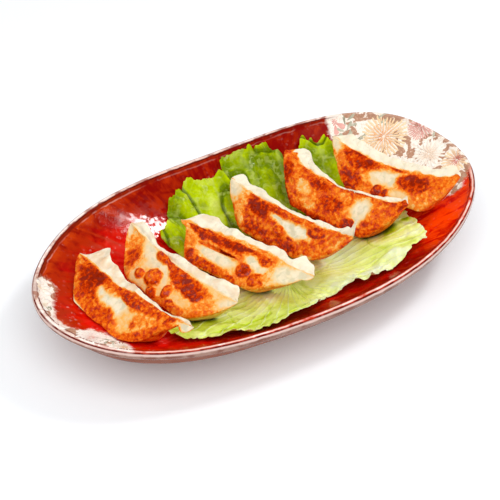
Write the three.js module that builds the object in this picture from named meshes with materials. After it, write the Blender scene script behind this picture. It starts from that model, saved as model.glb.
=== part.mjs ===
// Six pan-fried dumplings lying across an oval stoneware dish, on four lettuce leaves.
// Millimetres, +Z up. The origin is the middle of the dish's foot, on the table, and +X runs
// along the dish. Every piece is one closed solid and lies clear of its neighbours.

import * as THREE from 'three';

// ---- Driving dimensions ----

const DISH = {
  halfLength: 140,
  halfWidth: 78.4,
  rimHeight: 36, // top of the rim at the middle of a long side
  endLift: 6, // how much higher the rim stands at the two ends
  floorHeight: 7.5, // top of the flat floor, above the table
  wall: 5, // thickness of the rim
  flatReach: 0.3, // share of the inside radius that is flat floor
  wallPower: 1.5, // how the inner wall curves up from the floor
};

// The hand-formed rim wanders from a true oval: [waves round the rim, share of radius, phase].
const RIM_WANDER = [
  [3, 0.0116, 158],
  [4, 0.0253, 162],
  [5, 0.0066, -133],
  [6, 0.0079, -61],
];

// The rim's wander leaves the oval's centre this far from the middle of the whole dish.
const OVAL_CENTRE = [2.15, 0.75, 0];

const DISH_SEGMENTS = 72;
const LEAF_THICKNESS = 1.1;
const LEAF_GAP = 0.9; // air under a leaf where it lies on the dish
const LEAFY_BED = 2.7; // lowest a dumpling comes to the dish where leaves lie under it
const BARE_BED = 0.8; // the same where it lies on the bare dish
const SETTLE = 2; // dough this close to what it lies on is flattened
const SKIN = 1.8; // thickness of the crimped fin
const TIP_WIDTH = 5; // width of the flat face at a dumpling's tips

// Each dumpling is placed by the middle of its seam line: the edge where the browned flat
// face meets the crimped fin. yaw turns it, from the tip at the dish's back to the one at its
// front; tilt raises the fin side; pitch raises the front tip. fin is the fin's width towards
// the back tip, in the middle and towards the front tip; taper is where, as a share of the half
// length, the body starts to narrow to the back and the front tip, and tip the share at each
// end that is a thin flap of dough; bow draws both tips towards the fin; curl lifts the back
// and the front tip off the face's plane.
const DUMPLINGS = [
  {
    name: 'gyoza_1', seam: [-92.7, -13.2, 43.2], yaw: -79, tilt: 27.5, pitch: 5.5,
    length: 95.5, width: 22.8, depth: 18, fin: [14, 5.5, 4], taper: [0.4, 0.53],
    tip: [0, 0.2], bow: 3.7, curl: [-1.3, 1.2], bed: BARE_BED, phase: 0.4,
  },
  {
    name: 'gyoza_2', seam: [-57.5, -3, 37.4], yaw: -79.2, tilt: 27.4, pitch: -1.2,
    length: 87, width: 22.6, depth: 22, fin: [6, 6.5, 7], taper: [0.43, 0.37],
    tip: [0, 0], bow: 4.3, curl: [-0.4, -0.2], bed: LEAFY_BED, phase: 1.9,
  },
  {
    name: 'gyoza_3', seam: [-16, -6.4, 34.5], yaw: -65.6, tilt: 27.9, pitch: 0,
    length: 88.3, width: 21.8, depth: 22, fin: [14, 7.4, 7], taper: [0.55, 0.2],
    tip: [0, 0.12], bow: 0.5, curl: [-2, -2], bed: LEAFY_BED, phase: 3.1,
  },
  {
    name: 'gyoza_4', seam: [18.8, 2.4, 35.3], yaw: -71.8, tilt: 40, pitch: 1.3,
    length: 88.5, width: 20.8, depth: 22, fin: [4.5, 4, 4], taper: [0.46, 0.33],
    tip: [0, 0], bow: 4.5, curl: [0.3, 2.2], bed: LEAFY_BED, phase: 4.4,
  },
  {
    name: 'gyoza_5', seam: [55.4, 2.7, 38.4], yaw: -70.9, tilt: 40, pitch: 2.1,
    length: 87, width: 22.4, depth: 22, fin: [10, 4, 4], taper: [0.51, 0.53],
    tip: [0, 0], bow: 7.2, curl: [0.6, 0.7], bed: LEAFY_BED, phase: 5.2,
  },
  {
    name: 'gyoza_6', seam: [84.9, -6.3, 46.7], yaw: -66.8, tilt: 38, pitch: 4.2,
    length: 84.5, width: 20.5, depth: 18, fin: [9, 6.5, 4.5], taper: [0.46, 0.57],
    tip: [0, 0], bow: 7, curl: [0.1, 1.6], bed: BARE_BED, phase: 0.9,
  },
];

// A leaf is ruled from its inner edge, under the dumplings, to its frilled outer edge. Each
// edge is a smooth curve through a few plan points.
const LEAVES = [
  {
    name: 'leaf_back_left', columns: 30, rows: 6, frill: [1.6, 9], lift: [5, 5], phase: 0.3,
    inner: [[-36, 12], [-22, 8], [-6, 6], [4, 8]],
    outer: [[-44, 38], [-33, 49], [-25, 60], [-13, 62], [2, 63], [11, 60], [9, 40]],
  },
  {
    name: 'leaf_back_mid', columns: 28, rows: 6, frill: [1.4, 8], lift: [3.5, 4], phase: 1.2,
    inner: [[8, 8], [18, 6], [30, 6], [40, 8]],
    outer: [[13, 50], [13, 67], [24, 68.5], [36, 67], [46, 63.5], [52, 56], [50, 40]],
  },
  {
    name: 'leaf_back_right', columns: 20, rows: 6, frill: [1.3, 6], lift: [4, 3], phase: 2.6,
    inner: [[46, 10], [55, 8], [64, 8]],
    outer: [[57, 42], [64, 58], [73, 57], [81, 50], [84, 38]],
  },
  {
    name: 'leaf_front', columns: 54, rows: 6, frill: [1.3, 17], lift: [3, 9], phase: 0.8,
    inner: [[78, -2], [62, 4], [30, 3], [-10, 1], [-40, 0], [-62, -12]],
    outer: [
      [84, -26], [78, -44], [70, -54], [50, -59], [24, -60], [8, -58], [-10, -65], [-30, -66],
      [-50, -60], [-66, -48], [-80, -46], [-83, -34],
    ],
  },
];

const DEGREE = Math.PI / 180;

// ---- The dish's oval and its inside surface ----

/** How far the rim is from the middle towards the oval's angle, in mm, and its height there. */
function rimAt(angle) {
  const wander = RIM_WANDER.reduce(
    (sum, [waves, share, phase]) => sum + share * Math.cos(waves * angle - phase * DEGREE),
    1,
  );
  const x = DISH.halfLength * Math.cos(angle) * wander;
  const y = DISH.halfWidth * Math.sin(angle) * wander;
  const height = DISH.rimHeight + DISH.endLift * (x / DISH.halfLength) ** 2;
  return { x, y, radius: Math.hypot(x, y), height };
}

/** Height of the dish's inside surface above the table at a plan point. */
function insideHeight(x, y) {
  const rim = rimAt(Math.atan2(y / DISH.halfWidth, x / DISH.halfLength));
  const reach = Math.min(Math.hypot(x, y) / (rim.radius - DISH.wall), 1);
  const rise = Math.max(reach - DISH.flatReach, 0) / (1 - DISH.flatReach);
  const lip = rim.height - RIM_ROUND;
  return DISH.floorHeight + (lip - DISH.floorHeight) * rise ** DISH.wallPower;
}

const RIM_ROUND = 2; // the rim's edges round over this far below its top

// ---- Dish ----

/** The dish's section, from the middle of its floor, over the rim, to the middle below. */
function dishSection() {
  const section = [];
  const innerSteps = 9;
  for (let i = 0; i < innerSteps; i += 1) {
    section.push({ inside: i / (innerSteps - 1) });
  }
  section.push(
    { reach: 1, inset: 3.6, drop: 0.4 },
    { reach: 1, inset: 1.8, drop: 0 },
    { reach: 1, inset: 0.4, drop: 0.9 },
    { reach: 1, inset: 0, drop: 2.6 },
    { reach: 0.985, drop: 5.6 },
    { reach: 0.95, drop: 9 },
    { reach: 0.9, height: 22 },
    { reach: 0.8, height: 14.5 },
    { reach: 0.68, height: 9.2 },
    { reach: 0.58, height: 5 },
    { reach: 0.565, height: 0.5 },
    { reach: 0.555, height: 0 },
    { reach: 0.5, height: 0 },
    { reach: 0.49, height: 1.8 },
    { reach: 0, height: 1.8 },
  );
  return section;
}

/** Where one point of the section lies at an angle round the oval. */
function dishPoint(entry, angle) {
  const rim = rimAt(angle);
  const direction = new THREE.Vector2(rim.x, rim.y).divideScalar(rim.radius);
  if (entry.inside !== undefined) {
    const radius = (rim.radius - DISH.wall) * entry.inside;
    const plan = direction.multiplyScalar(radius);
    return new THREE.Vector3(plan.x, plan.y, insideHeight(plan.x, plan.y));
  }
  const radius = entry.reach * (rim.radius - (entry.inset ?? 0));
  const plan = direction.multiplyScalar(radius);
  const height = entry.height ?? rim.height - entry.drop;
  return new THREE.Vector3(plan.x, plan.y, height);
}

function makeDish() {
  const section = dishSection();
  const profile = section.map((entry, i) => {
    const onAxis = i === 0 || i === section.length - 1;
    return new THREE.Vector2(onAxis ? 0 : 1, i);
  });
  const geometry = new THREE.LatheGeometry(profile.reverse(), DISH_SEGMENTS);
  const position = geometry.getAttribute('position');
  for (let i = 0; i < position.count; i += 1) {
    const turn = Math.floor(i / section.length) % DISH_SEGMENTS;
    const entry = section[section.length - 1 - (i % section.length)];
    const angle = (turn / DISH_SEGMENTS) * 2 * Math.PI;
    const point = dishPoint(entry, angle);
    position.setXYZ(i, point.x, point.y, point.z);
  }
  return geometry;
}

// ---- Dumplings ----

/** One cross-section of a dumpling, as control points [towards the fin, out of the face]. */
function dumplingSection(s, piece) {
  const out = Math.abs(s);
  const side = s < 0 ? 0 : 1;
  const taper = piece.taper[side];
  const narrowing = Math.max(0, (out - taper) / (1 - piece.tip[side] - taper));
  const full = Math.max(0, 1 - narrowing ** 1.6);
  const close = Math.sqrt(Math.max(0, 1 - out ** 14));
  const skin = SKIN * close;
  const width = (TIP_WIDTH + (piece.width - TIP_WIDTH) * full) * close;
  const depth = skin + (piece.depth - SKIN) * full ** 1.1 * close;
  const grown = THREE.MathUtils.smoothstep(1 - out, 0, 0.2);
  const finWidth = THREE.MathUtils.lerp(piece.fin[1], piece.fin[2 * side], out ** 2);
  const fin = finWidth * (0.12 + 0.88 * grown) * close;
  const wave = Math.sin(8.5 * s + piece.phase) + 0.6 * Math.sin(17 * s + 2 * piece.phase);
  const droop = (0.9 * wave * grown - 0.42 * fin) * close;
  const bow = piece.bow * out ** 2;
  const curl = piece.curl[side] * out ** 3;
  return [
    [0, 0],
    [-0.3 * width, 0.9 * full],
    [-0.65 * width, 0.9 * full],
    [-0.93 * width, -0.06 * depth],
    [-width, -0.3 * depth],
    [-0.86 * width, -0.76 * depth],
    [-0.54 * width, -depth],
    [-0.2 * width, -0.78 * depth],
    [0.02 * width, -0.36 * depth - 0.5 * skin],
    [0.45 * fin, 0.35 * droop - 1.05 * skin],
    [fin, droop - 0.5 * skin],
    [0.55 * fin, 0.5 * droop - 0.15 * skin],
    [0.14 * fin, -0.55 * skin],
  ].map(([across, lift]) => new THREE.Vector3(0, across + bow, lift + curl));
}

/** Lift a point that would sink into what it lies on, and flatten the dough just above it. */
function settle(height, bed) {
  const above = height - bed - SETTLE;
  return above >= 0 ? height : bed + SETTLE * Math.exp(above / SETTLE);
}

function makeDumpling(piece) {
  const around = 26;
  const along = 18;
  const geometry = new THREE.SphereGeometry(1, around, along);
  const position = geometry.getAttribute('position');
  const frame = new THREE.Matrix4().makeRotationFromEuler(
    new THREE.Euler(piece.tilt * DEGREE, -piece.pitch * DEGREE, piece.yaw * DEGREE, 'ZYX'),
  );
  frame.setPosition(...piece.seam);
  const back = frame.clone().invert();
  for (let row = 0; row <= along; row += 1) {
    const s = -Math.cos((row / along) * Math.PI);
    const ring = new THREE.CatmullRomCurve3(dumplingSection(s, piece), true, 'catmullrom', 0.5);
    for (let column = 0; column <= around; column += 1) {
      const point = ring.getPoint(1 - (column % around) / around);
      point.x = (s * piece.length) / 2;
      point.applyMatrix4(frame);
      point.z = settle(point.z, insideHeight(point.x, point.y) + piece.bed);
      point.applyMatrix4(back);
      position.setXYZ(row * (around + 1) + column, point.x, point.y, point.z);
    }
  }
  return { geometry, frame };
}

// ---- Leaves ----

/** A thin wavy sheet: both faces are split into triangles alike, and a strip closes the edge. */
function makeLeaf(leaf) {
  const { columns, rows } = leaf;
  const curveOf = (points) =>
    new THREE.SplineCurve(points.map(([x, y]) => new THREE.Vector2(x, y)));
  const inner = curveOf(leaf.inner);
  const outer = curveOf(leaf.outer);
  const [frillDepth, frillWaves] = leaf.frill;
  const [liftHeight, liftWaves] = leaf.lift;
  const upper = new THREE.PlaneGeometry(1, 1, columns, rows);
  const grid = upper.getAttribute('position');
  const count = grid.count;
  const places = new Float32Array(count * 6);
  for (let i = 0; i < count; i += 1) {
    const u = grid.getX(i) + 0.5;
    const v = grid.getY(i) + 0.5;
    const root = inner.getPointAt(u);
    const rim = outer.getPointAt(u);
    const plan = root.clone().lerp(rim, v);
    const frill = frillDepth * Math.sin(2 * Math.PI * frillWaves * u + leaf.phase) * v ** 3;
    plan.add(rim.clone().sub(root).normalize().multiplyScalar(frill));
    const swell = 0.5 + 0.5 * Math.sin(2 * Math.PI * liftWaves * u + 2 * leaf.phase);
    const lift = liftHeight * swell * v ** 4;
    const height = insideHeight(plan.x, plan.y) + LEAF_GAP + lift;
    places.set([plan.x, plan.y, height + LEAF_THICKNESS], i * 3);
    places.set([plan.x, plan.y, height], (count + i) * 3);
  }
  const faces = Array.from(upper.getIndex().array);
  const index = [...faces];
  for (let i = 0; i < faces.length; i += 3) {
    index.push(count + faces[i], count + faces[i + 2], count + faces[i + 1]);
  }
  const across = columns + 1;
  const edge = [];
  for (let c = 0; c < columns; c += 1) edge.push(c);
  for (let r = 0; r < rows; r += 1) edge.push(r * across + columns);
  for (let c = columns; c > 0; c -= 1) edge.push(rows * across + c);
  for (let r = rows; r > 0; r -= 1) edge.push(r * across);
  edge.forEach((a, i) => {
    const b = edge[(i + 1) % edge.length];
    index.push(a, b, count + a, b, count + b, count + a);
  });
  const geometry = new THREE.BufferGeometry();
  geometry.setAttribute('position', new THREE.BufferAttribute(places, 3));
  geometry.setIndex(index);
  return geometry;
}

// ---- Assembly ----

const glaze = new THREE.MeshStandardMaterial({ color: 0xb3200f, roughness: 0.25, metalness: 0 });
const fried = new THREE.MeshStandardMaterial({ color: 0xc8702f, roughness: 0.55, metalness: 0 });
const lettuce = new THREE.MeshStandardMaterial({ color: 0xa3bf3a, roughness: 0.5, metalness: 0 });

const gyozaPlate = new THREE.Group();
gyozaPlate.position.set(...OVAL_CENTRE);

const dish = new THREE.Mesh(makeDish(), glaze);
dish.name = 'dish';
gyozaPlate.add(dish);

for (const piece of DUMPLINGS) {
  const { geometry, frame } = makeDumpling(piece);
  const mesh = new THREE.Mesh(geometry, fried.clone());
  mesh.name = piece.name;
  frame.decompose(mesh.position, mesh.quaternion, mesh.scale);
  gyozaPlate.add(mesh);
}

for (const leaf of LEAVES) {
  const mesh = new THREE.Mesh(makeLeaf(leaf), lettuce.clone());
  mesh.name = leaf.name;
  gyozaPlate.add(mesh);
}

export default gyozaPlate;
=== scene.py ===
"""Six pan-fried dumplings lying on lettuce in an oval stoneware dish.

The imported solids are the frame. Each of them is replaced by a finely modelled piece whose form
follows the same rule, and every piece is dressed with a finish of its own. Forms are worked out
in millimetres in the frame of the dish's oval, and turn into metres when a mesh is made.
"""

from __future__ import annotations

import itertools
import logging
import math
from dataclasses import dataclass
from enum import Enum

import bpy
import numpy as np
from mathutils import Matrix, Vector
from mathutils.bvhtree import BVHTree


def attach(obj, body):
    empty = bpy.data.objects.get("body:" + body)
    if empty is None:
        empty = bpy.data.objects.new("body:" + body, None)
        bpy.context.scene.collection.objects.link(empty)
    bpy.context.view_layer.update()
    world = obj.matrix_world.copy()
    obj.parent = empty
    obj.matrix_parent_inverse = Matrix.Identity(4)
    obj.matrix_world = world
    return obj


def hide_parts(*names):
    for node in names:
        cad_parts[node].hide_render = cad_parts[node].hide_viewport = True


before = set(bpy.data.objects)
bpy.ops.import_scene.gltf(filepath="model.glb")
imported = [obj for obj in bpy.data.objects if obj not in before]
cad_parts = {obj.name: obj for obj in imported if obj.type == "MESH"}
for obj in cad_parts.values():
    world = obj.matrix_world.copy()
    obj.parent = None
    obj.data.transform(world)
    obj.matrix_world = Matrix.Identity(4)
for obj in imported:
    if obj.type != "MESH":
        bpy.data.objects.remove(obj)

Array = np.ndarray
Material = bpy.types.Material
Pair = tuple[float, float]
Piece = bpy.types.Object
Socket = bpy.types.NodeSocket
Triple = tuple[float, float, float]

LOG = logging.getLogger("dumplings")
MM = 0.001
BODY = "root"
FAR = 9.0  # in mm: stands for a distance that is far off
OVAL_CENTRE = np.array([2.15, 0.75, 0.0])  # where the dish's oval lies in the row frame


class Slot(Enum):
    """The record's material slots."""

    GLAZE = "glazed_stoneware"
    DOUGH = "fried_dough"
    LETTUCE = "lettuce"


# ---- Numbers ----


def srgb(*steps: int) -> tuple[float, float, float, float]:
    """Turn a colour in the usual steps from 0 to 255 into linear light.

    Args:
        *steps: Red, green and blue.

    Returns:
        The colour with a full alpha.
    """
    parts = [step / 255 for step in steps]
    linear = [p / 12.92 if p <= 0.04045 else ((p + 0.055) / 1.055) ** 2.4 for p in parts]
    return (*linear, 1.0)


def ease(value: Array, low: float, high: float) -> Array:
    """Rise smoothly from 0 at low to 1 at high.

    Args:
        value: The numbers to grade.
        low: Where the rise starts. It may be above high, and the rise is then a fall.
        high: Where the rise ends.

    Returns:
        The grade of each number.
    """
    share = np.clip((value - low) / (high - low), 0, 1)
    return share * share * (3 - 2 * share)


def blend(start: Array, end: Array, share: Array) -> Array:
    """Go from start to end by a share."""
    return start + (end - start) * share


def lattice(cells: Array, seed: int) -> Array:
    """Give each cell of a three-way grid its own repeatable number.

    Args:
        cells: Whole numbers, three for each cell.
        seed: Which set of numbers to use.

    Returns:
        A number from 0 to 1 for each cell.
    """
    whole = cells.astype(np.int64) & 0xFFFFFFFF
    mixed = (whole[..., 0] * 73856093) ^ (whole[..., 1] * 19349663) ^ (whole[..., 2] * 83492791)
    mixed = (mixed + seed * 668265263) & 0xFFFFFFFF
    for shift, factor in ((15, 2246822519), (13, 3266489917)):
        mixed = ((mixed ^ (mixed >> shift)) * factor) & 0xFFFFFFFF
    return (mixed ^ (mixed >> 16)) / 0xFFFFFFFF


def soft_noise(points: Array, size: float, seed: int, octaves: int = 3) -> Array:
    """Smooth noise with smaller and smaller lumps.

    Args:
        points: Places in millimetres, three numbers each.
        size: How far apart the largest lumps are.
        seed: Which noise to use.
        octaves: How many sizes of lump it has, each half the last.

    Returns:
        A number from -1 to 1 for each place.
    """
    total = np.zeros(points.shape[:-1])
    weight, reach = 1.0, 0.0
    for octave in range(octaves):
        place = points / size * 2**octave + 17.3 * (octave + 1)
        base = np.floor(place)
        part = place - base
        part = part * part * (3 - 2 * part)
        value = np.zeros(points.shape[:-1])
        for corner in itertools.product((0, 1), repeat=3):
            share = np.prod(np.where(corner, part, 1 - part), axis=-1)
            value += share * lattice(base + corner, seed + octave)
        total += weight * (2 * value - 1)
        reach += weight
        weight *= 0.5
    return total / reach


def catmull_rom(points: Array, where: Array, closed: bool) -> Array:
    """Read a smooth curve through points that are evenly spaced in its parameter.

    Args:
        points: The points along axis 0, with any further axes.
        where: The parameters to read, counted in points.
        closed: Whether the last point joins the first.

    Returns:
        The curve's points, with the parameters along axis 0.
    """
    count = len(points)
    first = np.floor(where).astype(int)
    if not closed:
        first = np.minimum(first, count - 2)
    part = (where - first).reshape(-1, *([1] * (points.ndim - 1)))
    near = [first + step for step in (-1, 0, 1, 2)]
    near = [i % count if closed else np.clip(i, 0, count - 1) for i in near]
    a, b, c, d = (points[i] for i in near)
    if not closed:
        flat = (slice(None), *([None] * (points.ndim - 1)))
        a = np.where((first == 0)[flat], 2 * b - c, a)
        d = np.where((first == count - 2)[flat], 2 * c - b, d)
    return 0.5 * (
        2 * b
        + (c - a) * part
        + (2 * a - 5 * b + 4 * c - d) * part**2
        + (3 * b - a - 3 * c + d) * part**3
    )


def grid_normals(grid: Array, wraps: bool) -> Array:
    """Find the direction square to a surface at each of its points.

    Args:
        grid: Points by row and column.
        wraps: Whether the last column joins the first.

    Returns:
        A unit direction for each point.
    """
    down = np.gradient(grid, axis=0)
    if wraps:
        across = (np.roll(grid, -1, axis=1) - np.roll(grid, 1, axis=1)) / 2
    else:
        across = np.gradient(grid, axis=1)
    normal = np.cross(down, across)
    length = np.linalg.norm(normal, axis=-1, keepdims=True)
    return normal / np.maximum(length, 1e-9)


def rotation(axis: int, degrees: float) -> Array:
    """Make the matrix that turns columns about an axis.

    Args:
        axis: The axis: 0, 1 or 2 for x, y or z.
        degrees: How far to turn.

    Returns:
        The matrix.
    """
    cos, sin = math.cos(math.radians(degrees)), math.sin(math.radians(degrees))
    return np.roll([[cos, -sin, 0], [sin, cos, 0], [0, 0, 1]], axis + 1, axis=(0, 1))


def raised(plan: Array, height: Array) -> Array:
    """Give places in plan their height."""
    return np.concatenate([plan, height[..., None]], axis=-1)


# ---- Meshes ----


def stand(name: str, data: bpy.types.ID) -> Piece:
    """Stand a mesh, a light or a camera in the scene.

    Args:
        name: The new object's name.
        data: What it shows.

    Returns:
        The new object.
    """
    made = bpy.data.objects.new(name, data)
    bpy.context.scene.collection.objects.link(made)
    return made


def plain_mesh(
    name: str, points: Array, faces: list[list[int]], fields: dict[str, Array]
) -> Piece:
    """Make a smooth-shaded object of a closed surface, with its faces turned outwards.

    Args:
        name: The object's name.
        points: Places in millimetres in the oval's frame.
        faces: Each face's point numbers.
        fields: Named numbers or colours, one for each point.

    Returns:
        The new object.
    """
    fans = [(f[0], f[i], f[i + 1]) for f in faces for i in range(1, len(f) - 1)]
    a, b, c = (points[[fan[k] for fan in fans]] for k in range(3))
    if np.einsum("ij,ij->", a, np.cross(b, c)) < 0:
        faces = [face[::-1] for face in faces]
    mesh = bpy.data.meshes.new(name)
    mesh.from_pydata(((points + OVAL_CENTRE) * MM).tolist(), [], faces)
    mesh.polygons.foreach_set("use_smooth", [True] * len(mesh.polygons))
    for label, values in fields.items():
        kind, slot = ("FLOAT", "value") if values.ndim == 1 else ("FLOAT_COLOR", "color")
        layer = mesh.attributes.new(label, kind, "POINT")
        layer.data.foreach_set(slot, values.astype(np.float32).ravel())
    mesh.update()
    return stand(name, mesh)


def closed_skin(name: str, grid: Array, fields: dict[str, Array]) -> Piece:
    """Skin a stack of rings, and draw the first and the last ring to a point.

    Args:
        name: The object's name.
        grid: Points by ring and by place round the ring.
        fields: Named numbers, one for each point of the grid.

    Returns:
        The new object.
    """
    rings, around = grid.shape[:2]

    def gather(values: Array) -> Array:
        """Put one grid's values in the order of the mesh's points."""
        middle = values[1:-1].reshape(-1, *values.shape[2:])
        return np.concatenate([values[:1].mean(axis=1), middle, values[-1:].mean(axis=1)])

    index = 1 + np.arange((rings - 2) * around).reshape(rings - 2, around)
    turned = np.roll(index, -1, axis=1)
    quads = np.stack([index[:-1], turned[:-1], turned[1:], index[1:]], axis=-1).reshape(-1, 4)
    last = 1 + (rings - 2) * around
    faces = quads.tolist()
    faces += [[0, int(b), int(a)] for a, b in zip(index[0], turned[0])]
    faces += [[last, int(a), int(b)] for a, b in zip(index[-1], turned[-1])]
    return plain_mesh(name, gather(grid), faces, {k: gather(v) for k, v in fields.items()})


def closed_sheet(name: str, upper: Array, lower: Array, fields: dict[str, Array]) -> Piece:
    """Close two matching surfaces with a strip round their edge.

    Args:
        name: The object's name.
        upper: The upper surface's points by row and column.
        lower: The lower surface's points by row and column.
        fields: Named numbers, one for each point of one surface.

    Returns:
        The new object.
    """
    rows, columns = upper.shape[:2]
    index = np.arange(rows * columns).reshape(rows, columns)
    corners = [index[:-1, :-1], index[:-1, 1:], index[1:, 1:], index[1:, :-1]]
    quads = np.stack(corners, axis=-1).reshape(-1, 4)
    edge = [*index[0, :-1], *index[:-1, -1], *index[-1, :0:-1], *index[:0:-1, 0]]
    count = rows * columns
    faces = quads.tolist() + (quads[:, ::-1] + count).tolist()
    for a, b in zip(edge, edge[1:] + edge[:1]):
        faces.append([int(b), int(a), int(a) + count, int(b) + count])
    points = np.concatenate([upper.reshape(-1, 3), lower.reshape(-1, 3)])
    both = {k: np.concatenate([v.ravel(), v.ravel()]) for k, v in fields.items()}
    return plain_mesh(name, points, faces, both)


def settle_in(piece: Piece, slot: Slot, *nodes: str) -> None:
    """Let a finished piece ride on the dish and stand for its solids.

    Args:
        piece: The finished piece.
        slot: The record's slot for its finish. It is not used.
        *nodes: The solids that it stands for.
    """
    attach(piece, BODY)
    if nodes:
        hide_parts(*nodes)
    LOG.info("%s: %d faces", piece.name, len(piece.data.polygons))


# ---- Node trees ----


@dataclass(frozen=True)
class Signal:
    """A number in a node tree. Arithmetic on it adds Math nodes."""

    tree: bpy.types.NodeTree
    socket: Socket

    def reckon(self, operation: str, *values: Signal | float) -> Signal:
        """Add one Math node.

        Args:
            operation: The node's operation.
            *values: What its sockets take, in order.

        Returns:
            The node's result.
        """
        maths = self.tree.nodes.new("ShaderNodeMath")
        maths.operation = operation
        for entry, value in zip(maths.inputs, values):
            if isinstance(value, Signal):
                self.tree.links.new(value.socket, entry)
            else:
                entry.default_value = value
        return Signal(self.tree, maths.outputs[0])

    def __add__(self, other: Signal | float) -> Signal:
        """Add."""
        return self.reckon("ADD", self, other)

    def __radd__(self, other: float) -> Signal:
        """Add to a number."""
        return self.reckon("ADD", other, self)

    def __sub__(self, other: Signal | float) -> Signal:
        """Take away."""
        return self.reckon("SUBTRACT", self, other)

    def __rsub__(self, other: float) -> Signal:
        """Take from a number."""
        return self.reckon("SUBTRACT", other, self)

    def __mul__(self, other: Signal | float) -> Signal:
        """Multiply."""
        return self.reckon("MULTIPLY", self, other)

    def __rmul__(self, other: float) -> Signal:
        """Multiply a number."""
        return self.reckon("MULTIPLY", other, self)

    def __truediv__(self, other: Signal | float) -> Signal:
        """Divide."""
        return self.reckon("DIVIDE", self, other)

    def __pow__(self, power: float) -> Signal:
        """Raise to a power."""
        return self.reckon("POWER", self, power)

    def __abs__(self) -> Signal:
        """Drop the sign."""
        return self.reckon("ABSOLUTE", self)

    def sine(self) -> Signal:
        """Take the sine."""
        return self.reckon("SINE", self)

    def cosine(self) -> Signal:
        """Take the cosine."""
        return self.reckon("COSINE", self)

    def larger(self, other: Signal | float) -> Signal:
        """Keep the larger of the two."""
        return self.reckon("MAXIMUM", self, other)

    def rise(self, low: float, high: float) -> Signal:
        """Rise smoothly from 0 at low to 1 at high, or fall where low is the larger.

        Args:
            low: Where the change starts.
            high: Where it ends.

        Returns:
            The grade, from 0 to 1.
        """
        grade = self.tree.nodes.new("ShaderNodeMapRange")
        grade.interpolation_type = "SMOOTHSTEP"
        self.tree.links.new(self.socket, grade.inputs["Value"])
        ends = (("From Min", low), ("From Max", high), ("To Min", 0.0), ("To Max", 1.0))
        if low > high:
            ends = (("From Min", high), ("From Max", low), ("To Min", 1.0), ("To Max", 0.0))
        for label, value in ends:
            grade.inputs[label].default_value = value
        return Signal(self.tree, grade.outputs["Result"])


@dataclass
class Bench:
    """A node tree that is being put together."""

    tree: bpy.types.NodeTree

    def node(self, kind: str, settings: dict | None = None, **inputs: object) -> bpy.types.Node:
        """Add a node.

        Args:
            kind: The node's type.
            settings: Its settings, such as a mode, or a ramp's stops under the name stops.
            **inputs: What its sockets take, by name, with _ for a space and s0, s1 for a
                socket that is named by its number.

        Returns:
            The new node.
        """
        made = self.tree.nodes.new(kind)
        for label, value in (settings or {}).items():
            if label == "stops":
                self._set_stops(made.color_ramp, value)
            else:
                setattr(made, label, value)
        for label, value in inputs.items():
            numbered = label[0] == "s" and label[1:].isdigit()
            entry = made.inputs[int(label[1:]) if numbered else label.replace("_", " ")]
            if isinstance(value, Signal):
                self.tree.links.new(value.socket, entry)
            elif isinstance(value, Socket):
                self.tree.links.new(value, entry)
            else:
                entry.default_value = value
        return made

    @staticmethod
    def _set_stops(ramp: bpy.types.ColorRamp, stops: list[tuple]) -> None:
        """Give a ramp its stops.

        Args:
            ramp: The ramp.
            stops: A place and a colour for each stop, in order.
        """
        while len(ramp.elements) < len(stops):
            ramp.elements.new(1.0)
        for element, (place, colour) in zip(ramp.elements, stops):
            element.position = place
            element.color = colour

    def signal(self, socket: Socket) -> Signal:
        """Read a socket as a number."""
        return Signal(self.tree, socket)


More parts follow.
